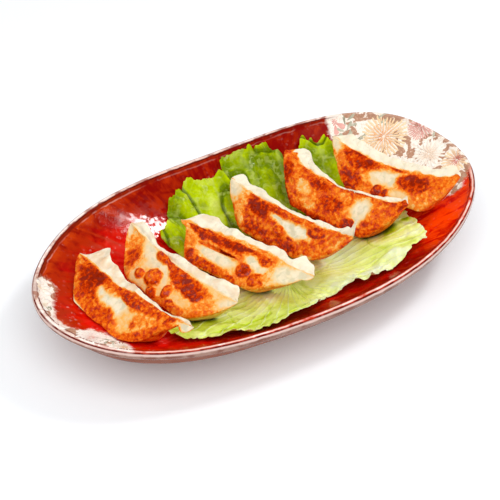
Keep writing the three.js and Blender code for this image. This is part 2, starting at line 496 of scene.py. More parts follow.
@dataclass
class Paint(Bench):
    """A material's node tree with its Principled shader."""

    material: Material
    shader: bpy.types.Node

    @classmethod
    def start(cls, name: str, **constants: object) -> Paint:
        """Start a new material.

        Args:
            name: The material's name.
            **constants: What the shader's own sockets are set to, with _ for a space.

        Returns:
            The paint, ready for its colour and relief.
        """
        material = bpy.data.materials.new(name)
        material.use_nodes = True
        shader = material.node_tree.nodes["Principled BSDF"]
        for label, value in constants.items():
            shader.inputs[label.replace("_", " ")].default_value = value
        return cls(material.node_tree, material, shader)

    def field(self, name: str) -> Signal:
        """Read one of the mesh's own number fields."""
        return self.signal(self.node("ShaderNodeAttribute", {"attribute_name": name}).outputs["Fac"])

    def place(self) -> Socket:
        """Give the place on the piece, in metres."""
        return self.node("ShaderNodeTexCoord").outputs["Object"]

    def plan(self) -> tuple[Signal, Signal]:
        """Give the place on the piece in plan, in millimetres: how far right and how far back."""
        parts = self.node("ShaderNodeSeparateXYZ", Vector=self.place())
        return self.signal(parts.outputs["X"]) / MM, self.signal(parts.outputs["Y"]) / MM

    def stretched(self, scale: Triple) -> Socket:
        """Give the place on the piece with each axis scaled."""
        mapping = self.node("ShaderNodeMapping", Vector=self.place(), Scale=scale)
        return mapping.outputs["Vector"]

    def noise(
        self, size: float, detail: float = 3.0, twist: float = 0.0, where: Socket | None = None
    ) -> Signal:
        """Add smooth noise.

        Args:
            size: How far apart its lumps are, in millimetres.
            detail: How many finer sizes it adds.
            twist: How much it is distorted.
            where: The place to read it at, if not the place on the piece.

        Returns:
            The noise, around one half.
        """
        cloud = self.node(
            "ShaderNodeTexNoise",
            Vector=where or self.place(),
            Scale=1 / (size * MM),
            Detail=detail,
            Distortion=twist,
        )
        return self.signal(cloud.outputs["Fac"])

    def cells(self, size: float, feature: str = "F1") -> Signal:
        """Add a pattern of cells.

        Args:
            size: How far apart the cells are, in millimetres.
            feature: Which distance to give.

        Returns:
            The distance, in cells.
        """
        cells = self.node(
            "ShaderNodeTexVoronoi",
            {"feature": feature},
            Vector=self.place(),
            Scale=1 / (size * MM),
        )
        return self.signal(cells.outputs["Distance"])

    def ramp(self, share: Signal, stops: list[tuple]) -> Socket:
        """Grade a number into a colour.

        Args:
            share: The number, from 0 to 1.
            stops: A place and a colour for each stop.

        Returns:
            The colour.
        """
        return self.node("ShaderNodeValToRGB", {"stops": stops}, Fac=share).outputs["Color"]

    def mix(self, share: Signal, start: object, end: object) -> Socket:
        """Mix two colours.

        Args:
            share: How much of the second there is.
            start: The first colour or its socket.
            end: The second colour or its socket.

        Returns:
            The mixed colour.
        """
        settings = {"data_type": "RGBA", "clamp_factor": True}
        blended = self.node("ShaderNodeMix", settings, s0=share, s6=start, s7=end)
        return blended.outputs[2]

    def coat(self, weight: Signal) -> None:
        """Let the shader's clear coat vary over the surface."""
        self.tree.links.new(weight.socket, self.shader.inputs["Coat Weight"])

    def finish(self, colour: Socket, rough: Signal, relief: Signal, depth: float) -> Material:
        """Join the colour, the roughness and the relief to the shader.

        Args:
            colour: The surface's colour.
            rough: Its roughness.
            relief: Its fine relief, from 0 to 1.
            depth: How deep that relief is, in millimetres.

        Returns:
            The finished material.
        """
        self.tree.links.new(colour, self.shader.inputs["Base Color"])
        self.tree.links.new(rough.socket, self.shader.inputs["Roughness"])
        bump = self.node("ShaderNodeBump", Height=relief, Distance=depth * MM, Strength=1.0)
        self.tree.links.new(bump.outputs["Normal"], self.shader.inputs["Normal"])
        return self.material


# ---- Finishes ----


class GlazeMap:
    """What every part of the glaze is mixed from: places on the dish, clouds, runs and grains."""

    def __init__(self, paint: Paint) -> None:
        """Read the dish's fields and lay the patterns.

        Args:
            paint: The glaze's paint.
        """
        self.paint = paint
        self.reach = paint.field("reach")
        self.crest = paint.field("from_crest")
        self.clouds = paint.noise(26, 4, 0.6)
        self.mottle = paint.noise(7, 5, 0.8)
        self.grains = paint.noise(1.3, 3)
        self.right, self.back = paint.plan()
        self.left = (self.right + 50 * self.clouds).rise(0, -50)
        self.front = (0 - self.back + 20 * self.clouds).rise(26, 52)
        self.wander = (self.mottle - 0.5) * 1.6
        out = (self.right * self.right + self.back * self.back) ** 0.5
        ring = paint.node(
            "ShaderNodeCombineXYZ",
            X=self.right / out * 0.1,
            Y=self.back / out * 0.1,
            Z=self.reach * 0.018,
        )
        self.runs = paint.noise(5, 4, 0.4, ring.outputs[0])
        # Pale specks: partly specks in the glaze, partly painted glints of light, thickest on the
        # left wall.
        sparse = paint.noise(14, 3).rise(0.46, 0.6) * (0.25 + 0.75 * self.left)
        sparse = sparse * self.reach.rise(0.2, 0.7)
        self.specks_and_glints = paint.cells(3.4).rise(0.4, 0.08) * sparse * self.grains.rise(0.4, 0.6)
        uneven = (self.mottle - 0.5) * 7 + (self.grains - 0.5) * 3
        self.painted = (paint.field("painted") + uneven).rise(-1.6, 1.6)
        self.painted_rim = self.painted * self.right.rise(80, 100)


@dataclass(frozen=True)
class StonewareGlaze:
    """A red glaze that breaks to brown on the wall and to pink grey over the rim."""

    floor_deep: tuple = srgb(200, 10, 2)
    floor_bright: tuple = srgb(248, 18, 3)
    floor_orange: tuple = srgb(250, 72, 4)
    wall_dark: tuple = srgb(128, 6, 2)
    wall_warm: tuple = srgb(172, 42, 3)
    rim_brown: tuple = srgb(204, 66, 6)
    # painted sheen: the pink veil of reflected light on the lower left wall
    painted_sheen: tuple = srgb(238, 116, 104)
    speck_and_glint: tuple = srgb(246, 210, 200)
    rim_red: tuple = srgb(206, 54, 20)
    # pale glaze over the rim, also the colour of its painted highlights
    rim_pale_and_highlight: tuple = srgb(236, 200, 186)
    rim_highlight: tuple = srgb(226, 196, 186)
    rim_mauve: tuple = srgb(176, 124, 112)
    rim_line: tuple = srgb(108, 22, 10)
    rim_glint: tuple = srgb(255, 246, 240)
    outside_pale: tuple = srgb(172, 136, 122)
    outside_grey: tuple = srgb(136, 88, 74)
    outside_low: tuple = srgb(142, 76, 54)
    foot: tuple = srgb(196, 170, 148)
    pool: tuple = (-40.5, 47.0)  # where the glaze has pooled and is glossiest, in mm
    pool_reach: tuple = (21, 12)  # where the pool fades out and where it is full
    ground_cream: tuple = srgb(255, 246, 234)
    ground_brown: tuple = srgb(186, 140, 114)
    ground_tan: tuple = srgb(222, 190, 166)

    def _inside(self, lay: GlazeMap) -> Socket:
        """Mix the red floor and wall, with a painted sheen and glints, and the cream and brown
        ground that the flowers are on.

        Args:
            lay: What the glaze is mixed from.

        Returns:
            The inside's colour.
        """
        paint, reach, runs, mottle, left = lay.paint, lay.reach, lay.runs, lay.mottle, lay.left
        body = (lay.clouds * 0.3 + mottle * 0.35 + runs * 0.35 + 0.03 * left).rise(0.4, 0.6)
        floor = paint.mix(body, self.floor_deep, self.floor_bright)
        fibres = (runs * 0.6 + mottle * 0.4).rise(0.4, 0.56)
        at_right = (lay.right + 30 * mottle).rise(72, 104)
        floor = paint.mix(at_right * fibres, floor, self.floor_orange)
        warm = (mottle * 0.4 + lay.clouds * 0.2 + runs * 0.4 - lay.right / 1400).rise(0.44, 0.6)
        wall = paint.mix(warm, self.wall_dark, self.wall_warm)
        climb = reach + (lay.clouds - 0.5) * 0.3 + (runs - 0.5) * 0.4 - 0.1 * left
        # Painted light: on the right front the bright floor colour climbs further up the wall, as if
        # lit.
        painted_light_right = lay.right.rise(60, 100) * lay.back.rise(10, -20)
        climb = climb + (lay.back - lay.right * 0.3).rise(0, 70) * 0.14 - 0.4 * painted_light_right
        colour = paint.mix(climb.rise(0.74, 0.98) * 0.9, floor, wall)
        # Painted sheen: a streaky pink veil of reflected light on the lower left wall.
        painted_sheen = (runs * 0.6 + mottle * 0.4).rise(0.46, 0.6) * reach.rise(0.45, 0.66)
        painted_sheen = painted_sheen * reach.rise(0.92, 0.8)
        colour = paint.mix(painted_sheen * left * 0.15, colour, self.painted_sheen)
        band = (reach + (runs - 0.5) * 0.1).rise(0.955, 0.99)
        band = band * (0.2 + 0.8 * mottle.rise(0.42, 0.56)) * (0.1 + 0.6 * left)
        colour = paint.mix(band, colour, self.rim_brown)
        # The pale specks are partly glaze specks and partly painted glints.
        colour = paint.mix(lay.specks_and_glints * 0.3, colour, self.speck_and_glint)
        patchy = paint.noise(7.5, 2, 0.9)
        plain = patchy + (lay.grains - 0.5) * 0.14 + paint.field("bloom") * 0.12
        ground = paint.mix(plain.rise(0.485, 0.52), self.ground_brown, self.ground_cream)
        ground = paint.mix(lay.grains.rise(0.5, 0.62) * 0.4, ground, self.ground_tan)
        return paint.mix(lay.painted, colour, ground)

    def _lip(self, lay: GlazeMap) -> Socket:
        """Mix the rim's top: mauve and pale behind, with painted glints; red in front with painted
        pale highlights.

        Args:
            lay: What the glaze is mixed from.

        Returns:
            The lip's colour.
        """
        paint, crest, wander = lay.paint, lay.crest, lay.wander
        lip = paint.mix(lay.mottle.rise(0.38, 0.6), self.rim_mauve, self.rim_pale_and_highlight)
        # Painted highlight: broken pale shines along the front rim's top.
        shine = abs(crest + 0.2 + wander * 0.8).rise(0.8, 0.2)
        shine = shine * paint.noise(13, 4).rise(0.36, 0.5)
        lip = paint.mix(lay.front, lip, paint.mix(shine, self.rim_red, self.rim_pale_and_highlight))
        # Painted glints: white flecks of light along the rim's top, strongest on the left.
        glint = abs(crest + 0.3 + wander * 0.5).rise(0.8, 0.3)
        glint = glint * paint.noise(11, 4).rise(0.5, 0.57)
        return paint.mix(glint * (0.4 + 0.5 * lay.left), lip, self.rim_glint)

    def _outside(self, lay: GlazeMap) -> Socket:
        """Mix the streaky wall below the rim, with a painted highlight along its top.

        Args:
            lay: What the glaze is mixed from.

        Returns:
            The outside's colour.
        """
        paint = lay.paint
        streaks = paint.noise(9, 4, 0.4, paint.stretched((1.0, 1.0, 0.22)))
        streaky = (streaks + (lay.grains - 0.5) * 0.2).rise(0.36, 0.66)
        outside = paint.mix(streaky, self.outside_grey, self.outside_pale)
        low = (lay.crest + (streaks - 0.5) * 10).rise(4, 14)
        outside = paint.mix(low * 0.85, outside, self.outside_low)
        # Painted highlight: a pale band along the outside just below the rim.
        return paint.mix((lay.crest + lay.wander).rise(3.4, 2.2), outside, self.rim_highlight)

    def _rim_lines(self, lay: GlazeMap, colour: Socket) -> Socket:
        """Draw the dark lines where the glaze thins along the rim, and the pale thread.

        Args:
            lay: What the glaze is mixed from.
            colour: The colour so far.

        Returns:
            The colour with its lines.
        """
        paint, crest, wander, mottle = lay.paint, lay.crest, lay.wander, lay.mottle
        inner_line = abs(crest + 1.9 + wander).rise(0.75, 0.3)
        outer_line = abs(crest - 1.1 + wander * 0.5).rise(0.7, 0.3)
        line = inner_line.larger(outer_line) * (0.45 + 0.55 * mottle.rise(0.36, 0.56))
        colour = paint.mix(line * (1 - lay.painted_rim * 0.9), colour, self.rim_line)
        sides = (1 - lay.front) * (1 - lay.painted) * (0.3 + 0.7 * lay.left)
        groove = abs(crest + 3.2 + wander * 1.2).rise(1.3, 0.5)
        colour = paint.mix(groove * (0.3 + 0.6 * mottle) * sides, colour, self.rim_line)
        thread = abs(crest + 4.4 + wander * 1.6).rise(0.7, 0.1) * lay.clouds.rise(0.42, 0.56)
        return paint.mix(thread * 0.5 * sides, colour, self.rim_pale_and_highlight)

    def make(self) -> Material:
        """Mix the glaze.

        Returns:
            The glaze's material.
        """
        paint = Paint.start("red_glaze", Coat_Roughness=0.04, Specular_IOR_Level=0.03)
        lay = GlazeMap(paint)
        over_rim = (lay.crest + lay.wander).rise(-1.9, -1.4)
        over_rim = over_rim * (1 - lay.painted * 0.4) * (1 - lay.painted_rim * 0.8)
        colour = paint.mix(over_rim, self._inside(lay), self._lip(lay))
        past_rim = (lay.crest + lay.wander * 0.5).rise(1.0, 1.5)
        colour = self._rim_lines(lay, paint.mix(past_rim, colour, self._outside(lay)))
        bare = paint.field("bare")
        colour = paint.mix(bare, colour, self.foot)
        rough = 0.05 + 0.06 * lay.grains + bare * 0.5 + lay.crest.rise(5, 12) * 0.15
        aside, behind = lay.right - self.pool[0], lay.back - self.pool[1]
        away = (aside * aside + behind * behind) ** 0.5
        pooled = (away + 16 * (lay.mottle - 0.5)).rise(*self.pool_reach)
        bubbles = paint.noise(3.4, 2, 0.4)
        paint.coat(0.03 + pooled * 0.97 * bubbles.rise(0.42, 0.5))
        relief = lay.mottle * 0.5 + lay.grains * 0.16 + lay.specks_and_glints * 0.4
        relief = relief + bubbles * (0.3 + 0.3 * pooled)
        return paint.finish(colour, rough, relief, 0.22)


@dataclass(frozen=True)
class Enamel:
    """Painted flowers in thick enamel under the same gloss as the glaze."""

    def make(self) -> Material:
        """Mix the enamel.

        Returns:
            The enamel's material.
        """
        gloss = {"Coat_Weight": 0.1, "Coat_Roughness": 0.08, "Specular_IOR_Level": 0.2}
        paint = Paint.start("flower_enamel", **gloss)
        tint = paint.node("ShaderNodeAttribute", {"attribute_name": "tint"}).outputs["Color"]
        wash = paint.noise(2.2, 3)
        colour = paint.mix(wash.rise(0.5, 0.75) * 0.35, tint, srgb(250, 240, 226))
        grain = paint.noise(0.8, 2)
        return paint.finish(colour, 0.28 + 0.15 * grain, grain * 0.5 + wash * 0.5, 0.05)


@dataclass(frozen=True)
class Crust:
    """Wheat dough, from steamed and pale to fried nearly black."""

    stages: tuple = (
        (0.0, srgb(242, 232, 208)),
        (0.13, srgb(238, 208, 158)),
        (0.26, srgb(246, 180, 88)),
        (0.4, srgb(246, 138, 38)),
        (0.56, srgb(230, 98, 14)),
        (0.72, srgb(203, 56, 4)),
        (0.95, srgb(140, 29, 2)),
    )
    fin: tuple = srgb(251, 240, 216)
    fin_shade: tuple = srgb(230, 196, 158)
    damp: tuple = srgb(206, 196, 162)

    def make(self) -> Material:
        """Mix the crust.

        Returns:
            The crust's material.
        """
        paint = Paint.start(
            "fried_dough",
            Specular_IOR_Level=0.01,
            Subsurface_Weight=0.08,
            Subsurface_Radius=(0.9, 0.45, 0.22),
            Subsurface_Scale=0.003,
            Coat_Roughness=0.22,
        )
        brown = paint.field("brown")
        crimp = paint.field("fin")
        fine = paint.noise(0.9, 4)
        middle = paint.noise(2.7, 3, 0.4)
        toasted = brown.rise(0.12, 0.4)
        golden = middle.rise(0.48, 0.38) * 0.15
        grit = paint.noise(1.7, 2) - 0.5
        burnt = brown.rise(0.45, 0.75)
        pimples = paint.cells(2.6).rise(0.36, 0.14) * middle.rise(0.38, 0.54)
        blotches = middle.rise(0.51, 0.59) * (0.07 * toasted + 0.13 * burnt)
        shade = brown + toasted * ((fine - 0.5) * 0.34 - golden - pimples * 0.12)
        shade = shade + blotches + burnt * grit * 0.4
        colour = paint.ramp(shade, list(self.stages))
        soft = 1 - brown.rise(0.04, 0.2)
        damp = soft * paint.noise(3.6, 3, 0.6).rise(0.4, 0.64) * 0.7
        colour = paint.mix(damp, colour, self.damp)
        colour = paint.mix(crimp * soft * 0.9, colour, self.fin)
        # Painted shade: the fins are shaded peach in patches, more on the dumplings to the left.
        right, _ = paint.plan()
        left = right.rise(30, -90)
        painted_fin_shade = paint.noise(9, 2, 0.5).rise(0.42, 0.62) * (0.15 + 0.85 * left)
        colour = paint.mix(crimp * soft * painted_fin_shade, colour, self.fin_shade)
        rough = 0.5 - 0.16 * toasted + 0.16 * (fine - 0.5)
        relief = fine * (0.2 + 0.8 * toasted) * 0.3 + middle * (0.6 + 0.4 * toasted)
        relief = relief + toasted * pimples * 0.35 - burnt * grit * 0.3
        oily = 0.3 * toasted + 0.3 * soft * (1 - crimp) + 0.4 * paint.field("blister")
        paint.coat(oily * middle.rise(0.5, 0.58))
        return paint.finish(colour, rough, relief, 0.55)


@dataclass(frozen=True)
class LeafGreen:
    """Fresh lettuce: pale ribs and green frills."""

    rib: tuple = srgb(246, 255, 212)
    pale: tuple = srgb(236, 248, 138)
    middle: tuple = srgb(188, 210, 2)
    deep: tuple = srgb(112, 136, 0)
    shade: tuple = srgb(40, 46, 0)

    def make(self) -> Material:
        """Mix the leaf's colours.

        Returns:
            The leaf's material.
        """
        paint = Paint.start(
            "lettuce_leaf",
            Subsurface_Weight=0.2,
            Subsurface_Radius=(0.8, 0.8, 0.2),
            Subsurface_Scale=0.0015,
            Specular_IOR_Level=0.01,
            Coat_Roughness=0.12,
        )
        green = paint.field("green")
        fan = paint.field("fan")
        patch = paint.noise(9, 3, 0.4)
        fine = paint.noise(1.6, 3)
        ribbed = paint.field("ribbed")
        veins = abs((fan + (patch - 0.5) * 2.0).sine()).rise(0.34, 0.02)
        branch = paint.cells(5.5, "DISTANCE_TO_EDGE").rise(0.09, 0.01)
        net = (veins * (0.1 + 0.8 * ribbed)).larger(branch * 0.05)
        crease = paint.field("crease")
        # The creases grade towards deep green, as painted shade.
        shade = green + (patch - 0.5) * 0.5 + (fine - 0.5) * 0.2 + crease * 0.5
        stops = [(0.0, self.rib), (0.3, self.pale), (0.62, self.middle), (0.95, self.deep)]
        colour = paint.mix(net * 0.45, paint.ramp(shade, stops), self.rib)
        sheen = paint.noise(4.5, 2, 0.6).rise(0.52, 0.62) * patch.rise(0.42, 0.56)
        colour = paint.mix(sheen * (0.24 - 0.12 * ribbed), colour, self.pale)
        # Painted shade: the creases and the leaf under and beside the dumplings are darkened.
        dark = (paint.field("painted_contact_shade") * 0.85).larger(crease.rise(0.72, 1.0) * 0.55)
        colour = paint.mix(dark, colour, self.shade)
        paint.coat(patch.rise(0.6, 0.68) * 0.8)
        rough = 0.34 + 0.14 * (fine - 0.5)
        relief = net * 0.4 + patch * 0.4 + fine * 0.25 + paint.noise(3.4, 2) * 0.3
        return paint.finish(colour, rough, relief, 0.7)


# ---- The dish ----


@dataclass(frozen=True)
class OvalDish:
    """The dish's oval, its wandering hand-formed rim and its section."""

    half_length: float = 140.0
    half_width: float = 78.4
    rim_height: float = 36.0
    end_lift: float = 6.0
    floor_height: float = 7.5
    wall: float = 5.0
    flat_reach: float = 0.3
    lead_in: float = 0.9  # where the section's first station lies on the way to the lip
    wall_power: float = 1.5
    rim_round: float = 2.0
    wander: tuple = ((3, 0.0116, 158), (4, 0.0253, 162), (5, 0.0066, -133), (6, 0.0079, -61))
    around: int = 560
    inside_rings: int = 58
    outer_steps: int = 6

    # The section past the inside surface: share of the way out, inset from the rim, and either
    # the drop below the rim's top or the height above the table.
    lip: tuple = (
        (1, 3.6, 0.4), (1, 1.8, 0), (1, 0.4, 0.9), (1, 0, 2.6), (0.985, 0, 5.6), (0.95, 0, 9),
    )  # fmt: skip
    below: tuple = (
        (0.9, 22), (0.8, 14.5), (0.68, 9.2), (0.58, 5), (0.565, 0.5), (0.555, 0),
        (0.5, 0), (0.49, 1.8), (0.25, 1.8), (0, 1.8),
    )  # fmt: skip
    crest: int = 3  # which station, counted from the last two inside, is the top of the rim
    foot_reach: float = 0.6
    paint_ends: float = 4.0  # how far past the rim's crest the painted fields end

    def rim(self, angle: Array) -> tuple[Array, Array, Array, Array]:
        """Follow the rim.

        Args:
            angle: The oval's angle, in radians.

        Returns:
            The rim's x, y, distance from the middle, and height.
        """
        share = 1 + sum(s * np.cos(n * angle - math.radians(p)) for n, s, p in self.wander)
        x = self.half_length * np.cos(angle) * share
        y = self.half_width * np.sin(angle) * share
        height = self.rim_height + self.end_lift * (x / self.half_length) ** 2
        return x, y, np.hypot(x, y), height

    def inside_height(self, x: Array, y: Array) -> Array:
        """Height of the inside surface at a place in plan.

        Args:
            x: Place along the dish.
            y: Place across the dish.

        Returns:
            The height above the table.
        """
        _, _, radius, height = self.rim(np.arctan2(y / self.half_width, x / self.half_length))
        reach = np.minimum(np.hypot(x, y) / (radius - self.wall), 1)
        climb = np.maximum(reach - self.flat_reach, 0) / (1 - self.flat_reach)
        lip = height - self.rim_round
        return self.floor_height + (lip - self.floor_height) * climb**self.wall_power

    def top_height(self, x: Array, y: Array) -> Array:
        """Height of whatever faces up at a place in plan, the rounded rim included.

        Args:
            x: Place along the dish.
            y: Place across the dish.

        Returns:
            The height above the table.
        """
        _, _, radius, height = self.rim(np.arctan2(y / self.half_width, x / self.half_length))
        inset = radius - np.hypot(x, y)
        top = [(inset, drop) for reach, inset, drop in reversed(self.lip) if reach == 1]
        insets, drops = zip(*top, (self.wall, self.rim_round))
        over = height - np.interp(inset, insets, drops)
        return np.where(inset < self.wall, over, self.inside_height(x, y))

    def _stations(self, angle: Array) -> Array:
        """Place the section's stations from just inside the lip to the middle below.

        Args:
            angle: The oval's angles.

        Returns:
            Distance from the middle and height, by station and angle.
        """
        _, _, radius, height = self.rim(angle)
        climb = (self.lead_in - self.flat_reach) / (1 - self.flat_reach)
        lip = height - self.rim_round
        near = self.floor_height + (lip - self.floor_height) * climb**self.wall_power
        stations = [((radius - self.wall) * self.lead_in, near), (radius - self.wall, lip)]
        stations += [(reach * (radius - inset), height - drop) for reach, inset, drop in self.lip]
        stations += [(reach * radius, level + 0 * height) for reach, level in self.below]
        return np.array([np.stack(pair, axis=-1) for pair in stations])

    def section(self, angle: Array) -> Array:
        """Round the section off between its stations.

        Each stretch leaves and reaches its stations in the direction that favours the nearer
        neighbour, so close stations turn tightly and far ones gently.

        Args:
            angle: The oval's angles.

        Returns:
            Distance from the middle and height, by ring and angle, from the inside's middle.
        """
        stations = self._stations(angle)
        chord = np.diff(stations, axis=0)
        length = np.maximum(np.linalg.norm(chord, axis=-1, keepdims=True), 1e-6)
        pull = chord / length**2
        heading = pull[1:] + pull[:-1]
        heading = heading / np.maximum(np.linalg.norm(heading, axis=-1, keepdims=True), 1e-9)
        heading = np.concatenate([chord[:1] / length[:1], heading, chord[-1:] / length[-1:]])
        parts = [self._inside(angle)]
        steps = np.arange(1, self.outer_steps + 1) / self.outer_steps
        for k in range(1, len(chord)):
            t = steps[:, None, None]
            parts.append(
                (2 * t**3 - 3 * t**2 + 1) * stations[k]
                + (t**3 - 2 * t**2 + t) * heading[k] * length[k]
                + (3 * t**2 - 2 * t**3) * stations[k + 1]
                + (t**3 - t**2) * heading[k + 1] * length[k]
            )
        rounded = np.concatenate(parts)
        rounded[..., 1] = np.maximum(rounded[..., 1], 0)
        return rounded

    def _inside(self, angle: Array) -> Array:
        """The inside surface's rings, from the middle to where the lip begins.

        Args:
            angle: The oval's angles.

        Returns:
            Distance from the middle and height, by ring and angle.
        """
        x, y, radius, _ = self.rim(angle)
        reach = np.linspace(0, 1, self.inside_rings)[:, None]
        out = (radius - self.wall)[None] * reach
        height = self.inside_height(x / radius * out, y / radius * out)
        return np.stack([out, height], axis=-1)

    def build(self) -> Piece:
        """Model the dish.

        Returns:
            The dish as one closed piece.
        """
        angle = np.arange(self.around) / self.around * 2 * math.pi
        x, y, radius, _ = self.rim(angle)
        section = self.section(angle)
        out, height = section[..., 0], section[..., 1]
        grid = np.stack([x / radius * out, y / radius * out, height], axis=-1)
        run = np.linalg.norm(np.diff(section, axis=0), axis=-1)
        run = np.concatenate([np.zeros((1, self.around)), np.cumsum(run, axis=0)])
        crest_ring = self.inside_rings - 1 + (self.crest - 1) * self.outer_steps
        from_crest = run - run[crest_ring]
        reach = out / (radius - self.wall)
        outer = from_crest > 0
        bare = np.where(outer, ease(out / radius, self.foot_reach, self.foot_reach - 0.03), 0)
        uneven = 0.3 * soft_noise(grid, 34, 5, 3) + 0.09 * soft_noise(grid, 7, 9, 2)
        rings = np.sin(height * 2.4) * 0.1 * ease(from_crest, 10, 16)
        still = 1 - bare
        normal = grid_normals(grid, True)
        grid = grid + normal * ((uneven + rings) * still * ease(out, 2, 12))[..., None]
        painted = painted_depth(grid[..., 0], grid[..., 1])
        painted = np.where(from_crest > self.paint_ends, -FAR, painted)
        fields = {
            "reach": reach,
            "from_crest": from_crest,
            "bare": bare,
            "painted": painted,
            "bloom": bloom_cover(grid[..., 0], grid[..., 1]),
        }
        return closed_skin("stoneware_dish", grid, fields)

    def dress(self, piece: Piece) -> None:
        """Glaze the dish and let it stand for its solid."""
        piece.data.materials.append(StonewareGlaze().make())
        settle_in(piece, Slot.GLAZE, "dish")


# ---- The painted flowers ----

# The outlines of the two painted fields, on the right end and along the front left rim. Their
# outer corners lie past the rim.
PAINTED_FIELDS = (
    (
        (96, 80), (88, 63), (84, 52), (87, 36), (90, 14), (94, -8), (101, -29), (114, -34),
        (124, -28), (146, -18), (156, 10), (150, 50), (120, 80),
    ),
    (
        (-140, 34), (-122, 29), (-120, 19), (-127, 10), (-133, -3), (-132, -11), (-127, -15),
        (-119, -16), (-114, -20), (-111, -26), (-108, -38), (-112, -62), (-160, -50), (-165, 10),
    ),
)  # fmt: skip


def painted_depth(x: Array, y: Array) -> Array:
    """How far inside a painted field a place is.

    Args:
        x: Place along the dish.
        y: Place across the dish.

    Returns:
        The distance to the nearest field's outline, negative outside every field.
    """
    best = np.full(x.shape, -1e3)
    for outline in PAINTED_FIELDS:
        corners = np.array(outline, float)
        inside = np.zeros(x.shape, bool)
        nearest = np.full(x.shape, 1e3)
        for (ax, ay), (bx, by) in zip(corners, np.roll(corners, -1, axis=0)):
            crosses = (ay > y) != (by > y)
            at = ax + (y - ay) * (bx - ax) / np.where(by == ay, 1e-9, by - ay)
            inside ^= crosses & (x < at)
            share = (x - ax) * (bx - ax) + (y - ay) * (by - ay)
            share = np.clip(share / ((bx - ax) ** 2 + (by - ay) ** 2), 0, 1)
            away = np.hypot(x - ax - share * (bx - ax), y - ay - share * (by - ay))
            nearest = np.minimum(nearest, away)
        best = np.maximum(best, np.where(inside, nearest, -nearest))
    return best


class Bloom(Enum):
    """The painted motifs: rings of petals as [count, inner radius, length, width] shares."""

    CHRYSANTHEMUM = (
        (34, 0.64, 0.36, 0.12), (30, 0.48, 0.34, 0.12), (25, 0.33, 0.3, 0.11),
        (18, 0.19, 0.26, 0.10), (10, 0.05, 0.2, 0.09),
    )  # fmt: skip
    DAISY = ((21, 0.38, 0.62, 0.2), (17, 0.2, 0.5, 0.17), (11, 0.06, 0.3, 0.13))
    BLOSSOM = ((5, 0.16, 0.84, 0.72), (9, 0.02, 0.24, 0.10))
    LEAF = ((13, 0.0, 0.5, 0.1),)


@dataclass(frozen=True)
class Motif:
    """One painted flower or leaf: where it is, how large, how it is turned and its colours."""

    bloom: Bloom
    centre: Pair
    radius: float
    turn: float
    heart: tuple
    tip: tuple


WHITE, CREAM = srgb(255, 252, 244), srgb(252, 226, 184)
APRICOT, ORANGE = srgb(242, 192, 144), srgb(238, 154, 84)
PINK, ROSE = srgb(242, 186, 174), srgb(216, 120, 110)
SAGE, MOSS = srgb(196, 194, 170), srgb(138, 132, 108)

MOTIFS = (
    Motif(Bloom.CHRYSANTHEMUM, (110, 33), 14.5, 10, ORANGE, CREAM),
    Motif(Bloom.DAISY, (121, 3), 10.0, 40, APRICOT, WHITE),
    Motif(Bloom.CHRYSANTHEMUM, (129, 21), 8.5, 70, ROSE, PINK),
    Motif(Bloom.DAISY, (104, 9), 8.0, 0, APRICOT, WHITE),
    Motif(Bloom.BLOSSOM, (91, 58), 7.5, 25, ROSE, PINK),
    Motif(Bloom.BLOSSOM, (113, -19), 8.5, 80, APRICOT, WHITE),
    Motif(Bloom.DAISY, (128, -14), 9.0, 20, ROSE, CREAM),
    Motif(Bloom.LEAF, (98, 56), 10.0, 55, MOSS, SAGE),
    Motif(Bloom.LEAF, (96, 43), 9.5, -15, MOSS, SAGE),
    Motif(Bloom.LEAF, (121, 46), 8.5, 75, MOSS, SAGE),
    Motif(Bloom.LEAF, (135, 5), 8.0, -70, MOSS, SAGE),
    Motif(Bloom.LEAF, (108, -6), 8.0, -50, MOSS, SAGE),
    Motif(Bloom.DAISY, (-123, -25), 8.5, 15, PINK, WHITE),
    Motif(Bloom.CHRYSANTHEMUM, (-112, -41), 8.5, 35, APRICOT, WHITE),
    Motif(Bloom.BLOSSOM, (-134, -9), 7.0, 60, PINK, WHITE),
    Motif(Bloom.BLOSSOM, (-129, 21), 6.0, 5, CREAM, WHITE),
    Motif(Bloom.BLOSSOM, (-133, 8), 5.5, 35, CREAM, WHITE),
    Motif(Bloom.LEAF, (-116, -29), 7.5, 160, MOSS, SAGE),
    Motif(Bloom.LEAF, (-131, 2), 6.5, 120, MOSS, SAGE),
)


def bloom_cover(x: Array, y: Array) -> Array:
    """How fully a painted flower covers each place.

    Args:
        x: Place along the dish.
        y: Place across the dish.

    Returns:
        A share from 0 to 1.
    """
    cover = np.zeros(x.shape)
    for motif in MOTIFS:
        if motif.bloom is not Bloom.LEAF:
            away = np.hypot(x - motif.centre[0], y - motif.centre[1]) / motif.radius
            cover = np.maximum(cover, ease(away, 1.0, 0.7))
    return cover


